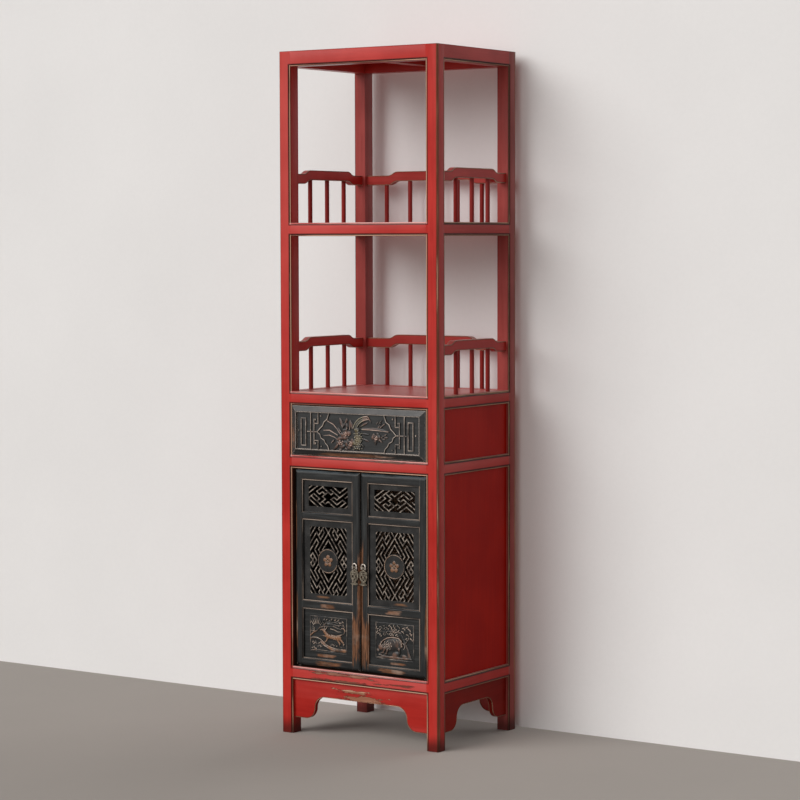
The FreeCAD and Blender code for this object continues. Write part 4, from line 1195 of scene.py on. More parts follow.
@dataclass
class Studio:
    """Camera, floor, backdrop and light."""

    eye: Point = (3.7487, -5.4985, 1.3206)
    yaw: float = 34.236
    pitch: float = -3.711
    roll: float = -0.135
    focal_pixels: float = 2503.98
    clip: Range = (0.1, 60.0)
    floor_colour: Colour = (0.45, 0.405, 0.365)
    wall_colour: Colour = (0.76, 0.74, 0.725)
    sky_colour: Colour = (0.97, 0.985, 1.0)
    seen_sky: Colour = (0.80, 0.785, 0.77)
    sky: float = 0.145
    lamps: tuple[Lamp, ...] = (Lamp("window", 1.85, 44, (0.42, 0.80, -0.50)),
                               Lamp("room", 1.12, 60, (0.0, 1.0, -0.30)),
                               Lamp("back", 1.1, 60, (-0.25, -1.0, -0.35)))
    wall_gap: float = 0.032
    reach: float = 14.0

    def set_camera(self) -> None:
        """Put the camera where the photograph was taken from."""
        data = bpy.data.cameras.new("camera")
        data.sensor_width = SENSOR_WIDE
        data.lens = self.focal_pixels / IMAGE_SIDE * SENSOR_WIDE
        data.clip_start, data.clip_end = self.clip
        camera = bpy.data.objects.new("camera", data)
        bpy.context.scene.collection.objects.link(camera)
        yaw, pitch = math.radians(self.yaw), math.radians(self.pitch)
        ahead = Vector((-math.sin(yaw) * math.cos(pitch), math.cos(yaw) * math.cos(pitch),
                        math.sin(pitch)))
        turn = ahead.to_track_quat("-Z", "Y").to_matrix().to_4x4()
        lean = Matrix.Rotation(math.radians(self.roll), 4, "Z")
        camera.matrix_world = Matrix.Translation(self.eye) @ turn @ lean
        bpy.context.scene.camera = camera

    def plain_finish(self, name: str, colour: Colour) -> Graph:
        """Make a soft, slightly cloudy finish for the floor or the wall.

        Args:
            name: the material's name.
            colour: its middle colour.

        Returns:
            The material's graph.
        """
        graph = Graph(name)
        tone = graph.plus(graph.times(graph.noise(2.5, 5.0), 0.7),
                          graph.times(graph.noise(90.0, 3.0), 0.3))
        graph.colour = graph.mix(tone, scaled(colour, 0.94), scaled(colour, 1.06))
        graph.polish(0.8, 0.2)
        return graph

    def show_front_only(self, graph: Graph) -> None:
        """Let a sheet be seen from its front alone, so that it hides and shades nothing behind it.

        Args:
            graph: the sheet's material.
        """
        path = graph.new("LightPath").outputs
        seen = graph.most(path["Is Camera Ray"], path["Is Glossy Ray"])
        backfacing = graph.new("NewGeometry").outputs["Backfacing"]
        surface = graph.shader.outputs["BSDF"].links[0].to_socket
        mix = graph.new("MixShader")
        graph.feed(mix.inputs[0], graph.times(seen, graph.unless(backfacing)))
        graph.feed(mix.inputs[1], graph.new("BsdfTransparent").outputs[0])
        graph.feed(mix.inputs[2], graph.shader.outputs["BSDF"])
        graph.feed(surface, mix.outputs[0])

    def add_sheet(self, name: str, colour: Colour, place: Matrix, front_only: bool) -> None:
        """Add a large flat sheet that isn't part of the cabinet.

        Args:
            name: the sheet's name.
            colour: its colour.
            place: where it lies.
            front_only: whether it is seen from its front alone.
        """
        mesh = bmesh.new()
        bmesh.ops.create_grid(mesh, x_segments=1, y_segments=1, size=self.reach, matrix=place)
        data = bpy.data.meshes.new(name)
        mesh.to_mesh(data)
        mesh.free()
        graph = self.plain_finish(f"{name}_finish", colour)
        if front_only:
            self.show_front_only(graph)
        data.materials.append(graph.material)
        sheet = bpy.data.objects.new(name, data)
        bpy.context.scene.collection.objects.link(sheet)

    def lay_floor(self) -> None:
        """Lay the floor, and stand a pale wall a little behind the cabinet."""
        self.add_sheet("floor", self.floor_colour, Matrix.Identity(4), False)
        wall = Matrix.Translation((0, FRAME.back * MM + self.wall_gap, 0))
        self.add_sheet("wall", self.wall_colour, wall @ Matrix.Rotation(math.pi / 2, 4, "X"), True)

    def hang_sky(self) -> None:
        """Light everything evenly, and show a pale sky wherever the camera looks past it all."""
        world = bpy.data.worlds.new("sky")
        bpy.context.scene.world = world
        world.use_nodes = True
        nodes, link = world.node_tree.nodes, world.node_tree.links.new
        nodes.clear()
        mix = nodes.new("ShaderNodeMixShader")
        for index, colour, strength in ((1, self.sky_colour, self.sky), (2, self.seen_sky, 1.0)):
            shade = nodes.new("ShaderNodeBackground")
            shade.inputs["Color"].default_value = (*colour, 1.0)
            shade.inputs["Strength"].default_value = strength
            link(shade.outputs[0], mix.inputs[index])
        path = nodes.new("ShaderNodeLightPath").outputs
        seen = path["Is Camera Ray"]
        for ray in ("Is Glossy Ray", "Is Transmission Ray"):
            either = nodes.new("ShaderNodeMath")
            either.operation = "MAXIMUM"
            link(seen, either.inputs[0])
            link(path[ray], either.inputs[1])
            seen = either.outputs[0]
        link(seen, mix.inputs[0])
        link(mix.outputs[0], nodes.new("ShaderNodeOutputWorld").inputs["Surface"])

    def hang_lamps(self) -> None:
        """Light the cabinet softly from the left, the front and the back."""
        for lamp in self.lamps:
            data = bpy.data.lights.new(lamp.name, "SUN")
            data.energy = lamp.strength
            data.angle = math.radians(lamp.angle)
            item = bpy.data.objects.new(lamp.name, data)
            item.rotation_mode = "QUATERNION"
            item.rotation_quaternion = Vector(lamp.way).to_track_quat("-Z", "Y")
            bpy.context.scene.collection.objects.link(item)
        bpy.context.scene.view_settings.view_transform = "Standard"

    def build(self) -> None:
        """Set the whole scene."""
        self.set_camera()
        self.lay_floor()
        self.hang_sky()
        self.hang_lamps()
        log.info("set the studio")


@dataclass
class FrameDressing:
    """Finishes of the posts, rails, boards, aprons and galleries."""

    across_spots: tuple[WornSpot, ...] = (
        WornSpot(-60, 171, 170, 8, 0.6), WornSpot(-60, 154, 120, 6, 0.5),
        WornSpot(90, 741, 90, 5, 0.5), WornSpot(115, 161, 90, 6, 0.45))
    apron_spots: tuple[WornSpot, ...] = (
        WornSpot(10, 110, 110, 14), WornSpot(-20, 128, 90, 7, 0.95))
    dressed: tuple[tuple[str, str], ...] = (
        ("back_*_post", "red_behind_shaded"), ("*_post", "red_upright"),
        ("*_front_rail", "red_across"), ("back_rails", "red_across"),
        ("*_side_rails", "red_inward"),
        ("*_back_gallery_rail", "red_back_gallery_shaded"), ("*_gallery_rail", "red_side_gallery"),
        ("left*_apron", "red_side_apron_shaded"), ("right*_apron", "red_side_apron_shaded"),
        ("*_apron", "red_apron_shaded"), ("*spindles", "red_spindle"),
        ("top_panel", "red_board"), ("*_shelf_panel", "red_board"),
        ("cupboard_floor", "red_board"), ("*batten*", "red_board"),
        ("drawer_side_panels", "red_panel"), ("cupboard_left_panel", "red_panel"),
        ("cupboard_right_panel", "red_panel"),
        ("drawer_back_panel", "bare_wood"), ("cupboard_back_panel", "bare_wood"))

    def finishes(self) -> dict[str, bpy.types.Material]:
        """Make the finishes of the frame.

        Returns:
            The finishes by name.
        """
        made = (
            RedLacquer("red_upright"),
            # Painted shade: the back posts get a darker, duller copy of the red.
            RedLacquer("red_behind_shaded", Grain.UPRIGHT, (0.33, 0.055, 0.047), (0.25, 0.036, 0.030),
                       bloom_and_sheen=(0.36, 0.085, 0.075)),
            RedLacquer("red_across", Grain.ALONG_X, spots=self.across_spots, gloss=0.22),
            RedLacquer("red_inward", Grain.ALONG_Y),
            # Painted shade: the aprons get darker copies of the red, the side ones darkest.
            RedLacquer("red_apron_shaded", Grain.ALONG_X, (0.38, 0.018, 0.012), (0.29, 0.010, 0.007),
                       beaded=False, face=Face.FORWARD, spots=self.apron_spots),
            RedLacquer("red_side_apron_shaded", Grain.ALONG_Y, (0.24, 0.008, 0.003),
                       (0.175, 0.005, 0.002), bloom_and_sheen=(0.26, 0.012, 0.006), beaded=False,
                       gloss=0.05, face=Face.SIDEWAYS),
            RedLacquer("red_board", Grain.ALONG_X, beaded=False, gloss=0.45),
            RedLacquer("red_side_gallery", Grain.ALONG_Y, beaded=False, face=Face.SIDEWAYS),
            # Painted shade: the back gallery rails get a darker, duller copy of the red.
            RedLacquer("red_back_gallery_shaded", Grain.ALONG_X, (0.37, 0.040, 0.033),
                       (0.28, 0.024, 0.019), beaded=False, face=Face.FORWARD),
            RedLacquer("red_spindle", Grain.UPRIGHT, (0.27, 0.019, 0.015), (0.19, 0.011, 0.009),
                       bloom_and_sheen=(0.31, 0.045, 0.040), beaded=False),
            RedLacquer("red_panel", Grain.UPRIGHT, (0.43, 0.010, 0.003), (0.34, 0.006, 0.002),
                       bloom_and_sheen=(0.43, 0.014, 0.006), beaded=False, gloss=0.04),
            BareWood("bare_wood"),
        )
        return {finish.name: finish.make() for finish in made}

    def build(self) -> None:
        """Dress every red node of the frame, and the bare wood at its back."""
        finishes = self.finishes()
        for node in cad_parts:
            for pattern, name in self.dressed:
                if fnmatch(node, pattern):
                    dress(node, finishes[name])
                    break


@dataclass
class DrawerCarving:
    """The drawer's carved field: corner frets, stepped brackets, and a bird among peonies."""

    centre: Vector
    melt: float = 0.8
    line: float = 2.3
    line_high: float = 3.6
    right_shift: float = -4.0
    picture_high: float = 5.2
    frets: Carving = field(init=False)
    picture: Carving = field(init=False)

    def __post_init__(self) -> None:
        """Start both carvings on the same ground."""
        self.frets = Carving("drawer_frets", "drawer", self.centre)
        self.picture = Carving("drawer_bird_and_peonies", "drawer", self.centre)

    def end_fret(self, side: int) -> None:
        """Carve the straight fret at one end, with the stepped bracket beside the picture.

        Args:
            side: -1 at the left end, 1 at the right end.
        """
        carving, line, high = self.frets, self.line, self.line_high
        shift = self.right_shift if side > 0 else 0.0

        def place(*path: Place) -> list[Place]:
            """Put points of the left end's pattern on this side."""
            return [(x * side + shift, z) for x, z in path]

        carving.fillet(place((180, 33), (180, -39), (165, -39), (165, 33)), line, high,
                       closed=True)
        carving.fillet([(149 * side, 48), (149 * side, -48)], line, high)
        for path in (((125, 48), (125, 20), (138, 20), (138, -25), (125, -25), (125, -48)),
                     ((138, 20), (138, 31)), ((138, -25), (138, -35)), ((160, -2), (130, -2))):
            carving.fillet(place(*path), line, high)
        carving.stroke(place((90, 48), (96, 32), (106, 25), (110, 15), (118, 8), (128, -2),
                             (119, -8), (115, -18), (105, -23), (101, -31), (94, -37), (90, -48)),
                       (3.4, 3.4), high + 0.6)
        for x, z in place((188, 0), (134, 30), (116, 40), (134, -33), (115, -40)):
            carving.dab(x, z, 5.0, 6.5, high)
        for x, z in place((158, -2), (144, -2), (131, -2)):
            carving.dab(x, z, 6.0, 4.4, high + 0.6)

    def peony(self, x: float, z: float, radius: float, high: float) -> None:
        """Carve a peony: two rings of cupped petals round a bud.

        Args:
            x: its middle, across.
            z: its middle, up.
            radius: half its width.
            high: how far its bud stands out.
        """
        for reach, count, long, short, lift, first in ((0.74, 6, 1.0, 0.72, 0.66, 10),
                                                       (0.34, 4, 0.70, 0.46, 0.90, 35)):
            for index in range(count):
                turn = first + 360 * index / count + 14 * math.sin(index * 2.3 + x)
                way = math.radians(turn)
                size = 1.0 + 0.22 * math.sin(index * 1.7 + z)
                self.picture.dab(x + reach * radius * math.cos(way),
                                 z + reach * radius * math.sin(way), long * size * radius,
                                 short * radius, high * lift * size, turn + 90)
        self.picture.dab(x, z, 0.42 * radius, 0.42 * radius, high)

    def petal(self, base: Place, tip: Place, wide: float, high: float) -> None:
        """Carve a plump petal with a raised vein.

        Args:
            base: where it grows from.
            tip: where it ends.
            wide: how wide it is.
            high: how far its vein stands out.
        """
        run_x, run_z = tip[0] - base[0], tip[1] - base[1]
        self.picture.dab((base[0] + tip[0]) / 2, (base[1] + tip[1]) / 2,
                         1.1 * math.hypot(run_x, run_z), wide, high * 0.72,
                         math.degrees(math.atan2(run_z, run_x)))
        self.picture.stroke([base, tip], (1.9, 1.1), high)

    def body(self) -> None:
        """Carve the bird's round head and its feathered breast."""
        high = self.picture_high
        spine = [(-1, 9), (1, 0), (3, -10), (2, -19), (1, -28), (3, -38)]
        for place, wide in zip(spine, (20, 20, 23, 25, 25, 19)):
            self.picture.dab(*place, wide, 17, high * 0.72)
        self.picture.draw(high, ((-1, 8), (19, 17), 1.0), ((-5, 9), (4.0, 5.0), 1.25),
                          ((4, 6), (5.0, 4.2), 1.2, 30))
        chance = random.Random(11)
        for row in range(8):
            for index in range(4):
                x = -8 + 6.4 * index + 3.2 * (row % 2) + chance.uniform(-1.3, 1.3)
                z = -2 - 5.6 * row + chance.uniform(-1.5, 1.5)
                reach = abs(x - 2) / 14
                if reach < 1.0:
                    self.picture.dab(x, z, chance.uniform(4.5, 7.0), chance.uniform(3.2, 4.6),
                                     high * (1.1 - 0.35 * reach) * chance.uniform(0.85, 1.1),
                                     chance.uniform(-60, 60))

    def tail(self) -> None:
        """Carve the bird's long tail, swept up in a fan, and the leaves beside it."""
        carving, high = self.picture, self.picture_high
        outer = [(-12, 12), (-8, 22), (-2, 30), (7, 38), (20, 43), (33, 45)]
        inner = [(0, 14), (4, 21), (9, 26), (17, 31), (26, 35), (37, 37)]
        middle = [((x + in_x) / 2, (z + in_z) / 2) for (x, z), (in_x, in_z) in zip(outer, inner)]
        carving.draw(high, (outer, (2.6, 2.6), 0.95), (inner, (2.6, 2.6), 0.95),
                     (middle, (10, 7), 0.5))
        for (start, end), (next_start, next_end) in zip(zip(outer, inner),
                                                        zip(outer[1:], inner[1:])):
            for share in (0.0, 0.33, 0.67):
                rib = [tuple(a + (b - a) * share for a, b in zip(here, there))
                       for here, there in ((start, next_start), (end, next_end))]
                carving.stroke(rib, (1.5, 1.5), high * 0.82)
        carving.stroke([(35, 42), (40, 35), (45, 27)], (5, 2.5), high * 0.7)
        for base, tip, wide, share in (((8, 16), (34, 29), 7, 0.75), ((14, 0), (38, -3), 8, 0.8),
                                       ((15, -13), (37, -20), 8, 0.85),
                                       ((14, -29), (21, -36), 7, 0.8)):
            self.petal(base, tip, wide, high * share)
        carving.draw(high,
                     ([(16, 11), (38, 12), (58, 13), (80, 11), (100, 7)], (9, 6), 0.5),
                     ([(16, 10), (39, 10), (69, 9), (99, 7)], (3.2, 3.2), 0.9))

    def flowers(self) -> None:
        """Carve the peonies, petals and stems on both sides of the bird."""
        high = self.picture_high
        for x, z, radius in ((-38, -4, 14), (-51, -27, 16), (-22, -29, 15), (60, -10, 14)):
            self.peony(x, z, radius, high * 0.95)
        for base, tip, wide in (
            ((-47, 15), (-56, 37), 12), ((-47, 12), (-40, 24), 9), ((-37, 25), (-32, 38), 10),
            ((-23, 8), (-21, 34), 11), ((-32, 9), (-34, 25), 10), ((-15, 10), (-17, 28), 8),
            ((-26, -8), (-22, 5), 9), ((-64, -20), (-52, -13), 7), ((-59, -31), (-77, -47), 10),
            ((-37, -40), (-31, -47), 8), ((-12, -45), (-5, -38), 7), ((-56, -44), (-50, -47), 7),
            ((-52, 2), (-62, 12), 7), ((-82, -29), (-73, -20), 6),
            ((59, -18), (57, -29), 8), ((71, -14), (80, -22), 6), ((78, -9), (84, -3), 7),
            ((85, -5), (93, 1), 6), ((88, -8), (97, -8), 7), ((82, -12), (89, -13), 6),
            ((62, 26), (68, 33), 6), ((72, 29), (78, 37), 6), ((73, 16), (80, 22), 6),
            ((67, 17), (73, 23), 6), ((81, 22), (88, 28), 6), ((69, 26), (76, 28), 7),
        ):
            self.petal(base, tip, wide, high * 0.85)
        for path in ([(-53, -5), (-63, 7), (-75, 19), (-95, 28)],
                     [(-62, -8), (-75, -2), (-89, 4), (-107, 3)],
                     [(-63, -18), (-72, -14), (-89, -9), (-107, -11)]):
            self.picture.stroke(path, (3.8, 3.2), high * 0.66)

    def build(self, plain: bpy.types.Material, rich: bpy.types.Material) -> None:
        """Carve the field.

        Args:
            plain: the finish of the frets.
            rich: the finish of the bird and the flowers.
        """
        for side in (-1, 1):
            self.end_fret(side)
        self.frets.finish(plain, self.melt, 2)
        self.body()
        self.tail()
        self.flowers()
        self.picture.finish(rich, self.melt, 3)


@dataclass
class Drawer:
    """The drawer: a sloping black border round a carved field, and plain boards behind."""

    boards: tuple[str, ...] = ("drawer_left_side", "drawer_right_side", "drawer_bottom",
                               "drawer_back", "drawer_runners")
    border_spots: tuple[WornSpot, ...] = (WornSpot(-10, 755, 240, 9, 0.95),
                                          WornSpot(-206, 800, 9, 60, 0.7))

    def build(self) -> None:
        """Dress the drawer and carve its front."""
        wood = BareWood("drawer_wood", Grain.ALONG_Y).make()
        for node in self.boards:
            dress(node, wood)
        dress("drawer_front", BlackLacquer(
            "black_drawer", Grain.ALONG_X, pale=(0.62, 0.52, 0.45), edge_wide=2.4, rubbed=1.0,
            spots=self.border_spots, dust_and_sheen=(0.25, 0.225, 0.21), gloss=0.36).make())
        low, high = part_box("drawer_front")
        ground = low.y / MM + FIELD_DEEP
        DrawerCarving(Vector((0.0, ground * MM, (low.z + high.z) / 2))).build(
            CarvedLacquer("carved_frets", ground, 6.0, brown=(0.13, 0.078, 0.05),
                          pale=(0.60, 0.50, 0.43)).make(),
            CarvedLacquer("carved_flowers", ground, 6.0, brown=(0.17, 0.078, 0.05),
                          pale=(0.74, 0.56, 0.47), gilt=(3.0, 15.0)).make())


@dataclass
class PictureCarving:
    """A door's carved picture: a thin raised border, ground, a tree and an animal."""

    side: Side
    melt: float = 0.7
    high: float = 4.6
    half_wide: float = 59.0
    half_tall: float = 47.0
    carving: Carving = field(init=False)

    def __post_init__(self) -> None:
        """Start the carving in the middle of the door's lower panel."""
        low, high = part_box(f"{self.side}_door_carved_panel")
        centre = Vector(((low.x + high.x) / 2, low.y, (low.z + high.z) / 2))
        self.carving = Carving(f"{self.side}_door_picture", f"{self.side}_door", centre)

    def border(self) -> None:
        """Carve the raised line round the picture, and the ground line in it."""
        wide, tall = self.half_wide, self.half_tall
        self.carving.fillet([(-wide, -tall), (wide, -tall), (wide, tall), (-wide, tall)], 2.4, 1.3,
                            closed=True)
        self.carving.stroke([(-wide + 4, -44), (-28, -42), (6, -43), (wide - 4, -42)], (3.4, 3.4),
                            2.6)

    def tuft(self, x: float, z: float, reach: float, turns: Range, count: int,
             wide: float = 3.0, start: float = 0.4) -> None:
        """Carve a fan of needles or leaves.

        Args:
            x: the point they spread from, across.
            z: the point they spread from, up.
            reach: how far their tips are from it.
            turns: the turns of the first and the last, in degrees.
            count: how many there are.
            wide: how wide each is at its start.
            start: the share of their reach that is left bare.
        """
        first, last = turns
        for index in range(count):
            way = math.radians(first + (last - first) * index / (count - 1))
            self.carving.stroke([(x + start * reach * math.cos(way),
                                  z + start * reach * math.sin(way)),
                                 (x + reach * math.cos(way), z + reach * math.sin(way))],
                                (wide, wide * 0.5), self.high * 0.62)

    def stag(self) -> None:
        """Carve a stag that leaps to the left over a rocky slope, looking back under a pine."""
        self.carving.draw(
            self.high,
            ([(-12, 8), (-4, 0), (8, -5), (22, -6), (36, -4)], (11, 13), 1.0),
            ((34, -5), (19, 16), 1.04, -12),
            ((-1, -3), (18, 14), 1.04, -40),
            ([(-11, 8), (-17, 13), (-26, 12)], (9, 4.5), 1.0),
            ([(-13, 14), (-11, 20), (-15, 26)], (3.2, 2), 0.85),
            ([(-10, 13), (-5, 18), (-3, 24)], (3.2, 2), 0.85),
            ([(-4, -4), (-16, -3), (-29, -6)], (6, 2.6), 0.85),
            ([(-2, -8), (-6, -16), (-15, -21)], (6, 2.6), 0.85),
            ([(38, -8), (48, -17), (50, -29)], (8, 2.8), 0.85),
            ([(30, -10), (37, -20), (36, -29), (44, -30)], (7, 2.6), 0.85),
            ([(42, 2), (51, 7), (54, 15), (50, 21), (44, 21)], (3.4, 4.6), 0.7),
            ([(12, 1), (24, -1), (36, 1), (44, 4)], (2.6, 2.6), 1.15),
            *(([(x - 2, z + 4), (x, z - 1), (x + 3, z - 5)], (1.8, 1.4), 1.28)
              for x, z in ((2, -1), (9, -4), (16, -6), (23, -7), (30, -6))),
            ((-17, 12), (3.2, 3.2), 1.2))

    def pine(self) -> None:
        """Carve the pine: a leaning trunk, two boughs and fans of needles."""
        self.carving.draw(
            self.high,
            ([(-57, -4), (-49, 3), (-37, 9), (-28, 18), (-15, 22), (14, 24), (22, 30)],
             (6, 3), 0.7),
            ([(-15, 26), (-3, 31), (14, 34), (30, 33)], (4, 2.4), 0.6),
            ([(18, 24), (30, 20), (42, 17)], (4, 2.4), 0.6))
        self.tuft(-36, 11, 33, (52, 132), 7, 2.7, 0.52)
        self.tuft(-38, 8, 19, (138, 180), 3, 2.5, 0.45)
        self.tuft(-20, 24, 19, (30, 80), 3)
        for path in ([(-8, 33), (4, 36), (16, 34), (30, 38), (44, 35)],
                     [(-2, 29), (12, 30), (26, 27), (40, 29), (52, 24)],
                     [(8, 17), (20, 15), (30, 11), (42, 11)]):
            self.carving.stroke(path, (3.4, 2.0), self.high * 0.66)
        for x, z, turn in ((-13, 40, 60), (-5, 40, 50), (4, 38, 35), (11, 42, 60), (22, 41, 25),
                           (33, 42, 20), (38, 34, -10), (34, 27, -20), (47, 38, -40),
                           (49, 29, -50)):
            self.carving.dab(x, z, 9, 4.2, self.high * 0.62, turn)

    def slope(self) -> None:
        """Carve the rocky slope under the stag, and the plants on it."""
        self.carving.draw(
            self.high,
            ([(-57, -12), (-42, -12), (-27, -15), (-15, -24), (-2, -32), (22, -39), (54, -38)],
             (6, 10), 0.72),
            ((6, -34), (34, 12), 0.8, -22),
            ([(-50, -9), (-34, -9), (-22, -14), (-10, -23)], (2.4, 1.8), 1.05),
            ([(-24, -20), (-12, -29), (4, -36), (22, -40)], (2.4, 1.8), 1.05),
            ([(-4, -27), (10, -32), (28, -35), (46, -34)], (2.4, 1.8), 1.05))
        self.tuft(-42, -30, 14, (40, 150), 5, 3.2)
        self.tuft(-29, -36, 12, (30, 150), 5, 3.2)
        self.tuft(-48, -40, 9, (20, 160), 4, 3.0)
        self.tuft(14, -30, 12, (30, 150), 5)
        for x, z, turn in ((-40, -40, 10), (-30, -24, 60), (-50, -22, 70), (50, -22, 40),
                           (28, -27, 10)):
            self.carving.dab(x, z, 7, 4, self.high * 0.7, turn)

    def beast(self) -> None:
        """Carve a beast with an arched back, a lowered head, a curled flank and a tail."""
        self.carving.draw(
            self.high,
            ((-12, -8), (56, 34), 0.5, 12),
            ((8, -6), (32, 32), 0.55),
            ([(-41, -4), (-33, 3), (-22, 9), (-6, 12), (14, 11), (22, 4), (24, -10)],
             (4, 4.6), 1.12),
            ((-43, -17), (20, 17), 0.95, -30),
            ((-51, -25), (12, 9), 0.9, -35),
            ((-43, -9), (6, 7), 1.05, 40),
            ([(-30, -18), (-36, -30), (-46, -33)], (8, 4), 0.85),
            ([(-22, -22), (-26, -32), (-34, -37)], (8, 4), 0.85),
            ([(14, -18), (16, -28), (8, -34)], (9, 4.5), 0.85))
        for ring in range(3):
            for index in range(8):
                way = math.radians(45 * index + 20 * ring)
                reach = 4 + 4.6 * ring
                self.carving.dab(-22 + reach * math.cos(way), -11 + reach * 0.85 * math.sin(way),
                                 6, 2.4, self.high * 0.95, 45 * index + 20 * ring + 125)
        self.carving.draw(
            self.high,
            ([(-4, 6), (2, -2), (2, -12)], (1.8, 1.4), 0.8),
            ([(6, 7), (11, -2), (11, -14)], (1.8, 1.4), 0.8),
            ([(14, 5), (19, -3), (19, -14)], (1.8, 1.4), 0.8),
            ([(24, 0), (31, -4), (32, -12), (28, -17)], (3.2, 1.8), 0.8))

    def grove(self) -> None:
        """Carve the tree: a trunk at the right and a canopy of leaves."""
        self.carving.draw(
            self.high,
            ([(46, -34), (41, -18), (33, -3), (25, 12), (18, 26)], (9, 5), 0.6),
            ([(33, -3), (42, 8), (46, 18)], (4, 2.6), 0.6),
            ([(20, 24), (2, 26), (-18, 27), (-40, 24)], (4.5, 2.4), 0.55))
        leaves = ((-44, 37, 20), (-33, 40, 15), (-16, 42, 30), (-2, 42, 80), (12, 42, -40),
                  (-46, 28, 50), (-31, 33, 50), (-23, 35, 110), (-9, 34, 80), (2, 35, 120),
                  (-2, 27, 60), (12, 29, 45), (28, 38, 20), (39, 41, 30), (46, 36, -50),
                  (41, 22, -10), (36, 11, 20), (-55, 22, 60), (-33, 19, 80), (-25, 23, 50),
                  (-15, 20, 50), (-57, 33, 70), (6, 19, 40), (25, 29, -20), (50, 25, -70),
                  (52, 12, -30), (-7, 20, 110), (-45, 16, 100))
        for x, z, turn in leaves:
            self.carving.dab(x, z, 10.5, 3.8, self.high * 0.74, turn)
            self.carving.dab(x + 3.5, z - 3.0, 7.5, 2.8, self.high * 0.6, turn - 35)

    def rocks(self) -> None:
        """Carve the rocks under the beast."""
        self.carving.draw(
            self.high,
            ([(-48, -36), (-34, -40), (-8, -40), (20, -41), (52, -41)], (5, 6), 0.7),
            ((4, -33), (26, 18), 0.7, 18),
            ((30, -36), (20, 12), 0.7, -8),
            ((46, -36), (14, 9), 0.6))

    def build(self, finish: bpy.types.Material) -> None:
        """Carve the picture.

        Args:
            finish: the finish of the whole picture.
        """
        self.border()
        for part in ((self.pine, self.slope, self.stag) if self.side is Side.LEFT
                     else (self.grove, self.rocks, self.beast)):
            part()
        self.carving.finish(finish, self.melt, 3)


@dataclass
class Medallion:
    """The round of a door's tall fret: a raised rim round a plum blossom."""

    side: Side
    radius: float = DISC_RADIUS
    high: float = 2.2

    def build(self, finish: bpy.types.Material) -> None:
        """Carve the rim and the blossom.

        Args:
            finish: the finish of both.
        """
        def spot(reach: float, turn: float) -> Place:
            """Find a place by its distance from the middle and its turn in degrees."""
            way = math.radians(turn)
            return reach * math.cos(way), reach * math.sin(way)

        low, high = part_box(f"{self.side}_door_tall_lattice")
        centre = Vector(((low.x + high.x) / 2, low.y, (low.z + high.z) / 2))
        carving = Carving(f"{self.side}_door_blossom", f"{self.side}_door", centre)
        rim = [spot(self.radius * 0.93, turn) for turn in range(0, 361, 12)]
        carving.stroke(rim, (2.6, 2.6), self.high * 0.7)
        for turn in range(90, 450, 72):
            between = turn + 36
            carving.draw(self.high, (spot(10.5, turn), (12.5, 12.5), 1.0, turn),
                         ([spot(3, between), spot(8, between)], (1.5, 1.2), 1.15),
                         (spot(9, between), (2.4, 2.4), 1.2))
        carving.dab(0, 0, 5.5, 5.5, self.high * 1.25)
        carving.finish(finish, 0.5, 2)


@dataclass(frozen=True)
class Lattice:
    """A door's pierced panel: its plain margins and the radius of its disc, in millimetres."""

    kind: str
    margin_x: float
    margin_z: float
    disc: float = 0.0


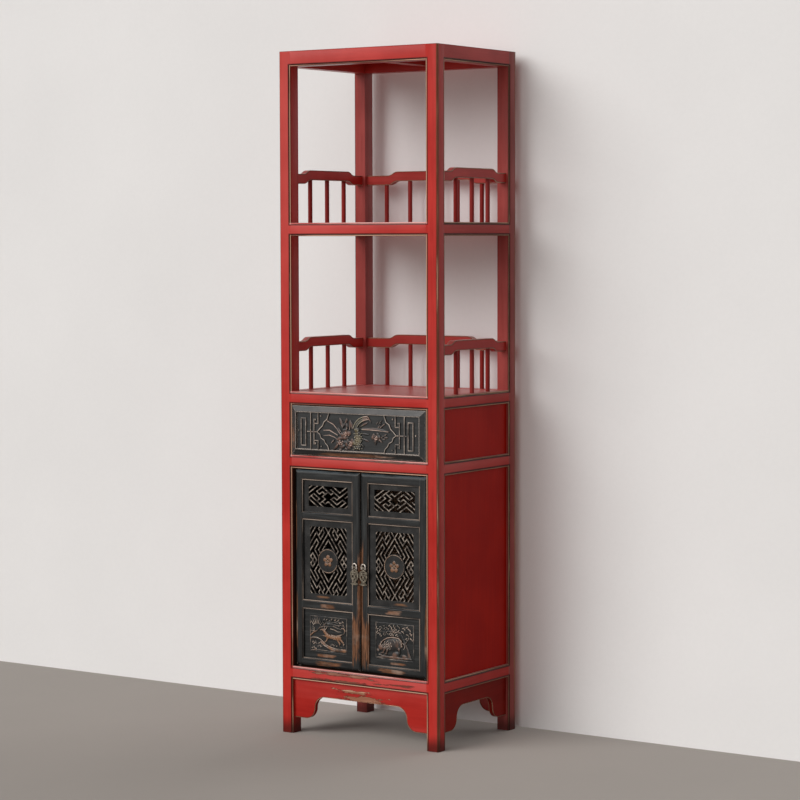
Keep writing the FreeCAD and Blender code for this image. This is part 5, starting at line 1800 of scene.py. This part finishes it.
@dataclass
class Door:
    """One door: a black frame round two lattices and a carved panel."""

    side: Side
    lattices: tuple[Lattice, ...] = (Lattice("small", 20.5, 19.0),
                                     Lattice("tall", 25.0, 22.0, DISC_RADIUS))

    def wear(self, *places: tuple[float, ...]) -> tuple[WornSpot, ...]:
        """Put spots that are given for the right door on this one."""
        return tuple(WornSpot(x * self.side.sign, *rest) for x, *rest in places)

    @property
    def stile_wear(self) -> tuple[WornSpot, ...]:
        """Tell where the stiles are rubbed to the wood: low beside the other door."""
        spots = self.wear((14, 258, 24, 100), (4, 400, 9, 190, 0.8), (206, 300, 6, 150, 0.75))
        return (*spots, *self.wear((207, 560, 5, 140, 0.6))) if self.side is Side.LEFT else spots

    @property
    def rail_wear(self) -> tuple[WornSpot, ...]:
        """Tell where the rails are rubbed to the wood: on the two low ones."""
        return self.wear((106, 348, 42, 11), (100, 194, 64, 10))

    @property
    def panel_wear(self) -> tuple[WornSpot, ...]:
        """Tell where the panels are rubbed to the wood: along their lower edges."""
        return self.wear((115, 214, 40, 6), (122, 371, 38, 7))

    def dress_frame(self) -> None:
        """Dress the stiles and the rails."""
        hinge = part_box(f"{self.side}_door_hinge_stile")
        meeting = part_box(f"{self.side}_door_meeting_stile")
        seams = (min(abs(corner.x) for corner in hinge) / MM,
                 max(abs(corner.x) for corner in meeting) / MM)
        for kind, grain, spots, nodes in (
            ("frame", Grain.UPRIGHT, self.stile_wear, ("hinge_stile", "meeting_stile")),
            ("rails", Grain.ALONG_X, self.rail_wear, ("rails",)),
        ):
            finish = BlackLacquer(f"black_{self.side}_{kind}", grain, bead_face=hinge[0].y / MM,
                                  seams=seams, spots=spots).make()
            for node in nodes:
                dress(f"{self.side}_door_{node}", finish)

    def dress_panels(self) -> None:
        """Dress the carved panel's board and the two lattices."""
        dress(f"{self.side}_door_carved_panel",
              BlackLacquer(f"black_{self.side}_panel", Grain.ALONG_X, rubbed=0.3,
                           spots=self.panel_wear).make())
        for lattice in self.lattices:
            node = f"{self.side}_door_{lattice.kind}_lattice"
            low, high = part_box(node)
            dress(node, FretLacquer(
                f"fret_{self.side}_{lattice.kind}",
                (low.x / MM + lattice.margin_x, low.z / MM + lattice.margin_z),
                (high.x / MM - lattice.margin_x, high.z / MM - lattice.margin_z),
                lattice.disc, spots=self.panel_wear).make())

    def carve(self) -> None:
        """Carve the picture and the blossom."""
        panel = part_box(f"{self.side}_door_carved_panel")[0].y / MM
        brown = (0.21, 0.094, 0.042) if self.side is Side.LEFT else (0.13, 0.066, 0.042)
        PictureCarving(self.side).build(
            CarvedLacquer(f"carved_{self.side}_picture", panel, 5.0, brown=brown,
                          pale=(0.64, 0.53, 0.44)).make())
        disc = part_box(f"{self.side}_door_tall_lattice")[0].y / MM
        Medallion(self.side).build(
            CarvedLacquer(f"carved_{self.side}_blossom", disc, 2.6).make())

    def build(self) -> None:
        """Dress and carve the door."""
        self.dress_frame()
        self.dress_panels()
        self.carve()


@dataclass
class Pull:
    """One hanging pull: an eye on the meeting stile and its pierced plate."""

    side: Side
    eye_bright: Colour = (0.74, 0.70, 0.65)
    eye_dull: Colour = (0.24, 0.20, 0.16)

    def build(self) -> None:
        """Dress the pull."""
        dress(f"{self.side}_pull_eye",
              AgedMetal(f"{self.side}_eye_metal", self.eye_bright, self.eye_dull).make())
        dress(f"{self.side}_pull", AgedMetal(f"{self.side}_pull_metal").make())


def main() -> None:
    """Build the studio and dress the cabinet, part by part."""
    logging.basicConfig(level=logging.INFO, format="%(message)s")
    Studio().build()
    FrameDressing().build()
    Drawer().build()
    for side in Side:
        Door(side).build()
        Pull(side).build()


if __name__ == "__main__":
    main()
